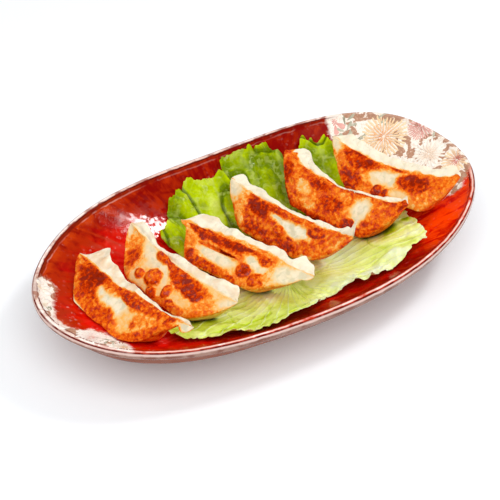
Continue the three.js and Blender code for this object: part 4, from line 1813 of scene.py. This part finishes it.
DUMPLINGS = (
    Gyoza(
        "gyoza_1", seam=(-92.7, -13.2, 43.2), turn=(-79, 27.5, 5.5), size=(95.5, 22.8, 18),
        fin=(14, 5.5, 4), taper=(0.4, 0.53), tip=(0, 0.2), bow=3.7, curl=(-1.3, 1.2),
        bed=BARE_BED, phase=0.4, level=0.56,
        marks=(
            Mark(-0.58, 0.32, 15, 8.5, 0.78, 4), Mark(-0.52, 0.2, 7, 3.6, 0.96, 10, -0.3),
            Mark(-0.72, 0.42, 4.5, 3.2, 0.9, 30, -0.2), Mark(-0.93, 0.3, 4, 4, 0.45),
            Mark(-0.04, 0.42, 17, 3.9, 0.03, 3, -0.25), Mark(0.2, 0.62, 7, 4.2, 0.24, 50),
            Mark(0.1, 0.15, 9.5, 2.8, 0.8, 0, 0.7), Mark(-0.52, 1.05, 8, 3.4, 0.1),
            Mark(0.42, 0.5, 8, 5, 0.42), Mark(0.4, 0.92, 9, 2.6, 0.66),
            Mark(0.55, 0.16, 12, 3, 0.62), Mark(0.93, 0.4, 7.5, 12, 0.04),
        ),
        peaks=(Peak(-0.78, 3.0, 4), Peak(-0.93, -2.0, 3), Peak(0.3, -2.6, 14), Peak(0.62, -2.4, 8)),
        corners=(
            Peak(-0.57, 2.4, 5), Peak(-0.84, -1.6, 4), Peak(0.2, 1.5, 8),
            Peak(0.64, -9.0, 9), Peak(0.9, 2.5, 6),
        ),
        creep=(Peak(-0.5, 0.8, 6), Peak(0.05, 1.6, 12), Peak(0.5, 1.6, 10), Peak(-0.3, -0.6, 4)),
    ),
    Gyoza(
        "gyoza_2", seam=(-57.5, -3, 37.4), turn=(-79.2, 27.4, -1.2), size=(87, 22.6, 22),
        fin=(6, 6.5, 7), taper=(0.43, 0.37), bow=4.3, curl=(-0.4, -0.2),
        phase=1.9, level=0.2,
        marks=(
            Mark(-0.78, 0.6, 10, 13, 0.42, 0, -1.7), Mark(-0.62, 0.7, 5, 9, 0.66, 14),
            Mark(-0.5, 0.66, 1.1, 8, 0.34, 6, -1.6), Mark(-0.99, 0.5, 5, 12, 0.1),
            Mark(0.3, 0.27, 15, 6.6, 0.68, 8), Mark(0.1, 0.2, 6.5, 4.2, 0.8, 10, 0.9),
            Mark(0.34, 0.3, 7, 4.6, 0.84, 20, 0.9), Mark(0.52, 0.42, 4, 3.4, 0.8, 0, 0.8),
            Mark(0.3, 0.93, 13, 3.2, 0.6), Mark(-0.28, 0.28, 14, 4.6, 0.08, 20),
            Mark(-0.54, 0.98, 4, 3.4, 0.4), Mark(-0.25, 0.02, 5.6, 4.6, 0.7, 20, 2.2),
            Mark(-0.1, 0.07, 4.2, 2.4, 0.7, 30, 0.3), Mark(-0.17, 0.6, 5.4, 5.4, 0.68, 0, 2.4),
            Mark(-0.37, 0.72, 3.4, 3.0, 0.64, 0, 1.2), Mark(-0.05, 0.9, 4.2, 3.6, 0.74, 0, 1.3),
            Mark(0.13, 0.66, 3.0, 4.4, 0.74, 0, 1.3), Mark(0.28, 0.88, 2.8, 2.6, 0.76, 0, 0.5),
            Mark(0.3, 0.62, 4.4, 2.6, 0.24, 10), Mark(0.6, 0.92, 11, 4.4, 0.52),
            Mark(0.66, 0.6, 6, 4, 0.42), Mark(0.94, 0.4, 5, 7, 0.08),
        ),
        peaks=(Peak(-0.9, 2.2, 4), Peak(-0.45, -3.5, 12), Peak(0.62, 2.2, 8), Peak(0.9, 2.5, 4)),
        corners=(Peak(-0.6, 1.0, 4), Peak(-0.3, -0.8, 5), Peak(0.5, 0.9, 6), Peak(0.25, -0.7, 5)),
        creep=(Peak(-0.25, 2.6, 5), Peak(0.2, 0.8, 8), Peak(0.5, 1.2, 6)),
        fold=0.15,
    ),
    Gyoza(
        "gyoza_3", seam=(-16, -6.4, 34.5), turn=(-65.6, 27.9, 0), size=(88.3, 21.8, 22),
        fin=(14, 7.4, 7), taper=(0.55, 0.2), tip=(0, 0.12), bow=0.5, curl=(-2, -2),
        phase=3.1, level=0.42,
        marks=(
            Mark(-0.26, 0.14, 30, 4.4, 0.76, 1), Mark(-0.1, 0.12, 8, 2.6, 0.9, 0, 0.2),
            Mark(-0.5, 0.22, 6, 2.6, 0.88, 8, 0.2), Mark(-0.94, 0.3, 5, 4, 0.4),
            Mark(-0.38, 0.88, 16, 3.2, 0.7, 4), Mark(-0.56, 0.74, 5, 3.2, 0.78, 0, 0.3),
            # The mark at -0.3 with level 1.0 and a 3.4 mm dent is a crease's slit, painted the
            # darkest brown to stand for the shade inside it.
            Mark(-0.24, 0.6, 14, 3.4, 0.05, 4, 0.0), Mark(-0.3, 0.41, 12, 1.0, 1.0, 2, -3.4),
            Mark(-0.42, 0.36, 6, 1.8, 0.5, 0), Mark(0.2, 0.34, 7, 3.4, 0.06, 24),
            Mark(0.36, 0.5, 4, 2.2, 0.1, -40), Mark(0.15, 0.62, 4.6, 4.4, 0.74, 0, 0.9),
            Mark(0.16, 0.62, 2.0, 1.8, 0.95, 0, -0.5), Mark(0.34, 0.74, 4.0, 3.8, 0.74, 0, 0.8),
            Mark(0.04, 0.98, 3.6, 2.8, 0.78, 0, 0.5), Mark(0.36, 0.2, 4.4, 3.4, 0.7, 20, 0.4),
            Mark(0.47, 0.66, 2.2, 7.5, 0.66, 8), Mark(0.8, 0.5, 13, 14, 0.04),
        ),
        peaks=(
            Peak(-0.62, 2.0, 4), Peak(-0.9, -1.5, 4), Peak(0.6, -3.4, 4),
            Peak(0.74, 2.6, 2.4), Peak(0.93, 4.0, 3),
        ),
        corners=(Peak(-0.88, -8.0, 5.5), Peak(-0.58, 1.2, 4), Peak(0.35, 0.9, 6)),
        creep=(Peak(-0.1, 3.0, 14), Peak(0.3, 2.4, 8), Peak(-0.5, 0.6, 5), Peak(-0.85, 0.8, 4)),
    ),
    Gyoza(
        "gyoza_4", seam=(18.8, 2.4, 35.3), turn=(-71.8, 40, 1.3), size=(88.5, 20.8, 22),
        fin=(4.5, 4, 4), taper=(0.46, 0.33), bow=4.5, curl=(0.3, 2.2),
        phase=4.4, level=0.58,
        marks=(
            Mark(-0.3, 0.22, 19, 5.0, 0.78, 3), Mark(-0.42, 0.3, 6.5, 3, 0.92, 0, -0.3),
            Mark(-0.72, 0.3, 5, 12, 0.36), Mark(-0.93, 0.3, 7, 14, 0.06),
            Mark(-0.6, 0.8, 3, 2.6, 0.36, 0, 0.5), Mark(-0.34, 0.78, 7, 3.4, 0.76),
            Mark(0.18, 0.34, 13, 4.0, 0.02, 6, -0.3), Mark(-0.08, 0.26, 5, 1.8, 0.06, 12),
            Mark(0.0, 0.54, 4.0, 3.2, 0.7, 0, 1.2), Mark(0.18, 0.8, 8, 2.2, 0.76, 5),
            Mark(0.5, 0.24, 5.5, 3.6, 0.74, 0, 0.2), Mark(0.5, 0.99, 4, 2.0, 0.12),
            Mark(0.8, 0.5, 9, 7, 0.48),
        ),
        peaks=(
            Peak(-0.93, 5.5, 4.5), Peak(-0.52, 1.6, 4),
            Peak(0.86, 2.4, 5.0, 2.0), Peak(0.96, 13.0, 2.0, 8.0),
        ),
        corners=(Peak(-0.78, -1.4, 4), Peak(-0.55, 0.8, 4), Peak(0.62, 1.6, 6), Peak(0.2, -0.6, 6)),
        creep=(Peak(-0.15, 2.2, 9), Peak(0.3, 1.8, 10), Peak(0.7, 0.8, 6), Peak(-0.6, 0.5, 5)),
    ),
    Gyoza(
        "gyoza_5", seam=(55.4, 2.7, 38.4), turn=(-70.9, 40, 2.1), size=(87, 22.4, 22),
        fin=(10, 4, 4), taper=(0.51, 0.53), bow=7.2, curl=(0.6, 0.7),
        phase=5.2, level=0.56,
        marks=(
            Mark(-0.82, 0.6, 4.0, 9, 0.82), Mark(-0.3, 1.0, 24, 2.6, 0.84, 0),
            Mark(-0.5, 0.46, 5, 4, 0.3), Mark(-0.3, 0.74, 4, 3, 0.36),
            Mark(-0.28, 0.2, 8, 3.0, 0.76), Mark(0.0, 0.5, 7, 4.4, 0.78),
            Mark(0.12, 0.2, 4, 3, 0.42), Mark(0.42, 0.4, 5.6, 8.2, 0.05, -10, -0.3),
            Mark(0.52, 0.96, 9, 3.0, 0.72), Mark(0.34, 0.86, 4.2, 4.0, 0.84, 0, 0.3),
            Mark(0.76, 0.5, 8, 6, 0.54), Mark(0.97, 0.4, 3.4, 5, 0.88),
        ),
        peaks=(
            Peak(-0.74, 2.6, 5), Peak(-0.95, 1.0, 3), Peak(0.06, -2.8, 15),
            Peak(0.66, -0.8, 8), Peak(0.94, 5.0, 2, 3.0),
        ),
        corners=(Peak(-0.8, -0.9, 5), Peak(-0.58, 0.9, 4), Peak(0.58, 1.1, 5), Peak(-0.1, -0.6, 7)),
        creep=(Peak(-0.98, 13.0, 5.5), Peak(-0.04, 2.4, 10), Peak(0.3, 3.0, 8), Peak(0.96, 5.0, 3)),
    ),
    Gyoza(
        "gyoza_6", seam=(84.9, -6.3, 46.7), turn=(-66.8, 38, 4.2), size=(84.5, 20.5, 18),
        fin=(9, 6.5, 4.5), taper=(0.46, 0.57), bow=7, curl=(0.1, 1.6),
        bed=BARE_BED, phase=0.9, level=0.46,
        marks=(
            Mark(-0.44, 0.22, 14, 5.4, 0.78, 4), Mark(-0.36, 0.26, 6, 3, 0.92, 0, -0.3),
            Mark(-0.5, 0.78, 8, 5.0, 0.76), Mark(0.0, 0.38, 12, 4.8, 0.05, -6, -0.3),
            Mark(-0.14, 0.6, 4.5, 2.6, 0.14, 30), Mark(0.1, 0.03, 5, 1.4, 0.7),
            Mark(0.42, 0.34, 10, 5.2, 0.8, 0, -0.2), Mark(0.44, 0.3, 4, 3, 0.93),
            Mark(-0.06, 0.8, 3.0, 3.4, 0.82, 0, 0.7), Mark(0.12, 0.84, 4.6, 2.8, 0.82, 0, 0.6),
            Mark(0.28, 0.8, 6.5, 3.2, 0.16), Mark(0.8, 0.5, 7, 5, 0.52),
            Mark(-0.95, 0.3, 6, 12, 0.08),
        ),
        peaks=(Peak(-0.55, 1.0, 8), Peak(0.82, 5.0, 6), Peak(0.97, 2.0, 2)),
        corners=(Peak(-0.8, -1.5, 4), Peak(-0.56, 1.0, 4), Peak(0.64, 1.5, 5), Peak(0.1, -0.8, 6)),
        creep=(Peak(-0.4, 0.6, 5), Peak(0.0, 0.8, 5), Peak(0.3, 1.0, 6), Peak(0.94, 3.5, 3)),
    ),
)  # fmt: skip


# ---- Lettuce ----


@dataclass(frozen=True)
class Swell:
    """A place where a leaf rises: where, how far it spreads along u and v, and how high in mm."""

    u: float
    v: float
    along: float
    across: float
    height: float

    def at(self, u: Array, v: Array) -> Array:
        """Give its height at each place."""
        away = np.hypot((u - self.u) / self.along, (v - self.v) / self.across)
        return self.height * np.exp(-(away**2))


@dataclass(frozen=True)
class Spread:
    """A leaf spread out: u and v run along and across it, plan is in mm, the rest are waves."""

    u: Array
    v: Array
    plan: Array
    drift: Array
    ruffle: Array
    lobes: Array


@dataclass(frozen=True)
class LettuceLeaf:
    """One leaf, ruled from its inner edge under the dumplings to its frilled outer edge."""

    name: str
    inner: tuple
    outer: tuple
    root: Pair  # where its veins fan out from
    frill: Pair  # how far the frill swings out, and its waves
    lift: Pair  # how high the edge rises, and its waves
    phase: float  # which waves and noise it has
    green: Pair  # how green it is at the inner and at the outer edge
    veins: float  # how closely its veins fan out
    ribbed: float = 0.1  # how strongly its veins show, from 0 to 1
    swells: tuple[Swell, ...] = ()
    ageing: float = 0.0  # how much greener it gets from its first end to its last
    flushes: tuple[Swell, ...] = ()  # places that are greener, each with how much as its height
    across: int = 300
    deep: int = 100
    gap: float = 0.55  # between it and the dish
    thickness: float = 0.75
    clearance: float = 0.35  # between it and the dumplings

    @property
    def seed(self) -> int:
        """Which noise it has."""
        return int(self.phase * 100)

    @staticmethod
    def _edge(points: tuple, count: int) -> Array:
        """Read an edge at even steps along its length.

        Args:
            points: The edge's points in plan.
            count: How many places to read.

        Returns:
            The places in plan.
        """
        spine = np.array(points, float)
        fine = catmull_rom(spine, np.linspace(0, len(spine) - 1, 600), False)
        run = np.concatenate([[0], np.cumsum(np.linalg.norm(np.diff(fine, axis=0), axis=1))])
        even = np.linspace(0, run[-1], count)
        return np.stack([np.interp(even, run, fine[:, k]) for k in range(2)], axis=-1)

    def _roof(self, x: Array, y: Array, floor: Array, dumplings: BVHTree) -> Array:
        """Find how high the leaf may rise under and beside the dumplings.

        Args:
            x: Place along the dish by row and column.
            y: Place across the dish.
            floor: The dish's surface there.
            dumplings: The dumplings' surfaces.

        Returns:
            The highest that the leaf's upper face may be.
        """
        open_air = 200.0
        roof = np.full(x.shape, open_air)
        up = Vector((0, 0, 1))
        for i, j in np.ndindex(*x.shape):
            hit = dumplings.ray_cast(Vector((x[i, j], y[i, j], floor[i, j])), up, open_air)
            if hit[0] is not None:
                roof[i, j] = hit[0].z
        roof = roof - self.clearance
        slope = 1.1
        step_down = np.hypot(np.diff(x, axis=0), np.diff(y, axis=0)) * slope
        step_across = np.hypot(np.diff(x, axis=1), np.diff(y, axis=1)) * slope
        for _ in range(60):
            roof[1:] = np.minimum(roof[1:], roof[:-1] + step_down)
            roof[:-1] = np.minimum(roof[:-1], roof[1:] + step_down)
            roof[:, 1:] = np.minimum(roof[:, 1:], roof[:, :-1] + step_across)
            roof[:, :-1] = np.minimum(roof[:, :-1], roof[:, 1:] + step_across)
        return roof

    def _spread(self) -> Spread:
        """Spread the leaf out in plan, with its lobes, notches and teeth.

        Returns:
            The leaf in plan.
        """
        u, v = np.meshgrid(np.linspace(0, 1, self.across), np.linspace(0, 1, self.deep))
        v = 1 - (1 - v) ** 1.35
        inner, outer = self._edge(self.inner, self.across), self._edge(self.outer, self.across)
        plan = blend(inner[None], outer[None], v[..., None])
        way = outer - inner
        way = (way / np.linalg.norm(way, axis=1, keepdims=True))[None]
        flat = raised(plan, 0 * v)
        drift = soft_noise(flat, 22, self.seed, 2)
        depth, waves = self.frill
        turns = waves * u + 0.35 * drift
        lobe = np.sqrt(0.5 + 0.5 * np.sin(2 * math.pi * turns + self.phase))
        ruffle = np.sin(2 * math.pi * 2.3 * turns + 2 * self.phase)
        lobes = soft_noise(flat, 12, self.seed + 4, 2)
        notches = soft_noise(flat, 5.5, self.seed + 6, 1)
        teeth = soft_noise(flat, 2.4, self.seed + 8, 2)
        swing = depth * (lobe - 0.7) * v**4 + 0.2 * depth * ruffle * v**8
        swing = swing + (2.6 * lobes + 2.0 * notches) * v**6 + 1.9 * teeth * v**8
        side = np.stack([way[..., 1], -way[..., 0]], axis=-1)
        curl = 0.3 * depth * -np.cos(2 * math.pi * turns + self.phase) * v**4
        plan = plan + way * swing[..., None] + side * curl[..., None]
        return Spread(u, v, plan, drift, ruffle, lobes)

    def _waves(self, leaf: Spread) -> Array:
        """Work out how high the leaf's folds, ruffles and swells rise.

        Args:
            leaf: The leaf in plan.

        Returns:
            The height at each place, in mm.
        """
        height, folds = self.lift
        turns = 2 * math.pi * folds * leaf.u + 2.2 * leaf.drift + 2 * self.phase
        lift = height * (0.5 + 0.5 * np.sin(turns)) * leaf.v**1.3
        lift = lift + 0.3 * height * (0.5 + 0.5 * leaf.ruffle) * leaf.v**6
        for swell in self.swells:
            lift = lift + swell.at(leaf.u, leaf.v)
        return lift

    def _greenness(self, leaf: Spread, pucker: Array, crinkle: Array) -> Array:
        """Work out how green the leaf is, with painted light and shade from its dents and edge.

        Args:
            leaf: The leaf in plan.
            pucker: Its broad dents.
            crinkle: Its fine ones.

        Returns:
            The greenness at each place, about 0 to 1.
        """
        u, v = leaf.u, leaf.v
        # Painted light and shade: paler on raised puckers and crinkles, deeper green in their
        # hollows, and paler along the frilled edge as a painted highlight.
        green = blend(self.green[0], self.green[1], v**1.2) + 0.16 * leaf.lobes - 0.26 * pucker
        green = green + self.ageing * (u - 0.5) - 0.22 * v**10
        green = green - (1 - self.ribbed) * (0.1 * pucker + 0.2 * crinkle * v)
        for flush in self.flushes:
            green = green + flush.at(u, v) * (1 + 1.5 * crinkle)
        return green

    def build(self, dish: OvalDish, dumplings: BVHTree) -> Piece:
        """Model the leaf.

        Args:
            dish: The dish it lies in.
            dumplings: The dumplings that lie on it.

        Returns:
            The leaf as one closed piece.
        """
        leaf = self._spread()
        v, x, y = leaf.v, leaf.plan[..., 0], leaf.plan[..., 1]
        floor = dish.inside_height(x, y)
        flat = raised(leaf.plan, 0 * v)
        pucker = soft_noise(flat, 13, self.seed + 12, 2)
        crinkle = soft_noise(flat, 4.0, self.seed + 16, 2)
        crease = np.exp(-((soft_noise(flat, 24, self.seed + 20, 2) / 0.035) ** 2))
        crease = crease * ease(v, 0.1, 0.5) * (1 - 0.7 * self.ribbed)
        fan = np.arctan2(y - self.root[1], x - self.root[0]) * self.veins
        ridge = np.exp(-((np.sin(fan + 0.8 * leaf.lobes) / 0.3) ** 2)) * self.ribbed
        rough = 0.4 + 1.1 * (1 - self.ribbed) + 2.0 * v**5
        lift = self._waves(leaf) + (1.2 + 2.8 * pucker) * (0.3 + 0.7 * v) + 0.5 * ridge
        lift = lift + rough * crinkle * v - 1.6 * crease
        low = floor + self.gap + self.thickness
        roof = self._roof(x, y, floor, dumplings)
        top = np.minimum(low + np.maximum(lift, 0), roof)
        top = np.maximum(top, floor + self.gap + 0.4)
        thickness = np.minimum(self.thickness * (1 - 0.5 * v**4), top - floor - 0.3)
        upper, lower = raised(leaf.plan, top), raised(leaf.plan, top - thickness)
        green = self._greenness(leaf, pucker, crinkle) - 0.15 * ridge * (1 - v)
        fields = {
            "green": np.clip(green, 0, 1),
            "fan": fan,
            "ribbed": np.full(v.shape, self.ribbed),
            "crease": crease,
            # painted shade: how closely a dumpling lies above, to darken the leaf there
            "painted_contact_shade": ease(roof - top, 3.4, 0.2),
        }
        return closed_sheet(f"{self.name}_dressed", upper, lower, fields)

    def dress(self, piece: Piece, green: Material) -> None:
        """Colour the leaf and let it stand for its solid."""
        piece.data.materials.append(green)
        settle_in(piece, Slot.LETTUCE, self.name)


LEAVES = (
    LettuceLeaf(
        "leaf_back_left",
        inner=((-36, 12), (-22, 8), (-6, 6), (4, 8)),
        outer=((-44, 38), (-33, 49), (-25, 59), (-13, 62), (2, 62), (11, 59), (9, 40)),
        root=(-6, 6), frill=(3.4, 4.2), lift=(5, 2.6), phase=0.3, green=(0.62, 0.86), veins=9,
        swells=(Swell(0.08, 0.6, 0.1, 0.3, 5.0),),
    ),
    LettuceLeaf(
        "leaf_back_mid",
        inner=((8, 8), (18, 6), (30, 6), (40, 8)),
        outer=((13, 50), (13, 65), (24, 66), (36, 65), (46, 62), (52, 55), (50, 40)),
        root=(26, 0), frill=(2.4, 3.3), lift=(5, 1.8), phase=1.2, green=(0.78, 1.0), veins=8,
    ),
    LettuceLeaf(
        "leaf_back_right",
        inner=((46, 10), (55, 8), (64, 8)),
        outer=((57, 42), (64, 57), (73, 56), (81, 49), (84, 38)),
        root=(55, 2), frill=(2.4, 2.6), lift=(4, 1.6), phase=2.6, green=(0.62, 0.92), veins=8,
        across=220,
    ),
    LettuceLeaf(
        "leaf_front",
        inner=((78, -2), (62, 4), (30, 3), (-10, 1), (-40, 0), (-62, -12)),
        outer=(
            (84, -26), (79, -44), (70, -54), (50, -60), (27, -61), (14, -60), (7, -55),
            (0, -60), (-8, -66), (-30, -66), (-48, -65), (-64, -56), (-78, -48), (-83, -34),
        ),
        root=(6, -18), frill=(2.0, 8.5), lift=(3.4, 5), phase=0.8, green=(0.18, 0.36), veins=26,
        ribbed=0.9, ageing=0.52, across=460,
        swells=(
            Swell(0.87, 0.45, 0.03, 0.25, 5.0), Swell(0.94, 0.4, 0.02, 0.3, 4.0),
            Swell(0.22, 0.6, 0.06, 0.5, 3.0), Swell(0.1, 0.7, 0.08, 0.4, 4.0),
        ),
        flushes=(Swell(0.02, 0.75, 0.06, 0.5, 0.7), Swell(0.14, 0.46, 0.06, 0.24, 0.46)),
    ),
)  # fmt: skip


def surface_tree(pieces: list[Piece]) -> BVHTree:
    """Gather pieces into one tree for finding what lies above a place.

    Args:
        pieces: The pieces, whose places are in their meshes.

    Returns:
        The tree, in millimetres in the oval's frame.
    """
    points, faces = [], []
    for piece in pieces:
        start = len(points)
        points += [Vector(v.co) / MM - Vector(OVAL_CENTRE) for v in piece.data.vertices]
        faces += [[start + i for i in face.vertices] for face in piece.data.polygons]
    return BVHTree.FromPolygons(points, faces)


# ---- Studio ----


@dataclass(frozen=True)
class SoftBox:
    """A rectangular light that faces the dish: where it is, its size, in metres, and its power."""

    name: str
    place: Triple
    size: Pair
    watts: float

    def hang(self) -> None:
        """Put the light up."""
        lamp = bpy.data.lights.new(self.name, "AREA")
        lamp.shape = "RECTANGLE"
        lamp.size, lamp.size_y = self.size
        lamp.energy = self.watts
        light = stand(self.name, lamp)
        light.location = self.place
        light.rotation_euler = (-Vector(self.place)).to_track_quat("-Z", "Y").to_euler()


@dataclass(frozen=True)
class Studio:
    """A pale table, soft light and the camera."""

    boxes: tuple = (
        SoftBox("key_box", (0.59, -0.11, 0.9), (0.18, 0.22), 3.0),
        SoftBox("front_box", (-0.34, -0.56, 1.05), (1.1, 1.1), 8.8),
        SoftBox("left_box", (-0.85, 0.35, 0.85), (0.7, 0.7), 1.8),
    )
    table: tuple = srgb(249, 252, 255)
    world: tuple = (1.0, 1.0, 1.0, 1.0)
    world_strength: float = 0.45
    table_glow: float = 0.09
    table_size: float = 6.0
    azimuth: float = -33.0
    elevation: float = 42.0
    distance: float = 0.8317
    target: Triple = (-0.01385, -0.01085, 0.036)
    lens: float = 108.0

    def set_up(self) -> None:
        """Lay the table, hang the lights and stand the camera."""
        for box in self.boxes:
            box.hang()
        self._lay_table()
        self._place_camera()
        scene = bpy.context.scene
        scene.world = scene.world or bpy.data.worlds.new("room")
        scene.world.use_nodes = True
        sky = scene.world.node_tree.nodes["Background"]
        sky.inputs["Color"].default_value = self.world
        sky.inputs["Strength"].default_value = self.world_strength
        scene.view_settings.view_transform = "Standard"

    def _lay_table(self) -> None:
        """Lay the pale table that the dish stands on."""
        half = self.table_size / 2
        corners = [(-half, -half, 0), (half, -half, 0), (half, half, 0), (-half, half, 0)]
        mesh = bpy.data.meshes.new("table")
        mesh.from_pydata(corners, [], [(0, 1, 2, 3)])
        table = stand("table", mesh)
        # Painted light: the table glows a little, which lifts its shadows.
        glow = {"Emission_Color": self.table, "Emission_Strength": self.table_glow}
        paint = Paint.start("table_white", Roughness=0.7, **glow)
        paint.shader.inputs["Base Color"].default_value = self.table
        mesh.materials.append(paint.material)

    def _place_camera(self) -> None:
        """Stand the camera in front of the dish, to the left and above."""
        azimuth, elevation = math.radians(self.azimuth), math.radians(self.elevation)
        back = Vector(
            (
                math.sin(azimuth) * math.cos(elevation),
                -math.cos(azimuth) * math.cos(elevation),
                math.sin(elevation),
            )
        )
        lens = bpy.data.cameras.new("camera")
        lens.lens = self.lens
        camera = stand("camera", lens)
        camera.location = Vector(self.target) + back * self.distance
        camera.rotation_euler = (-back).to_track_quat("-Z", "Y").to_euler()
        bpy.context.scene.camera = camera


def main() -> None:
    """Build every piece in order."""
    logging.basicConfig(level=logging.INFO, format="%(message)s")
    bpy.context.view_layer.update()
    Studio().set_up()
    dish = OvalDish()
    dish.dress(dish.build())
    flowers = PaintedFlowers(dish)
    flowers.dress(flowers.build())
    crust = Crust().make()
    fried = []
    for gyoza in DUMPLINGS:
        piece = gyoza.build(dish)
        gyoza.dress(piece, crust)
        fried.append(piece)
    above = surface_tree(fried)
    green = LeafGreen().make()
    for leaf in LEAVES:
        leaf.dress(leaf.build(dish, above), green)


if __name__ == "__main__":
    main()
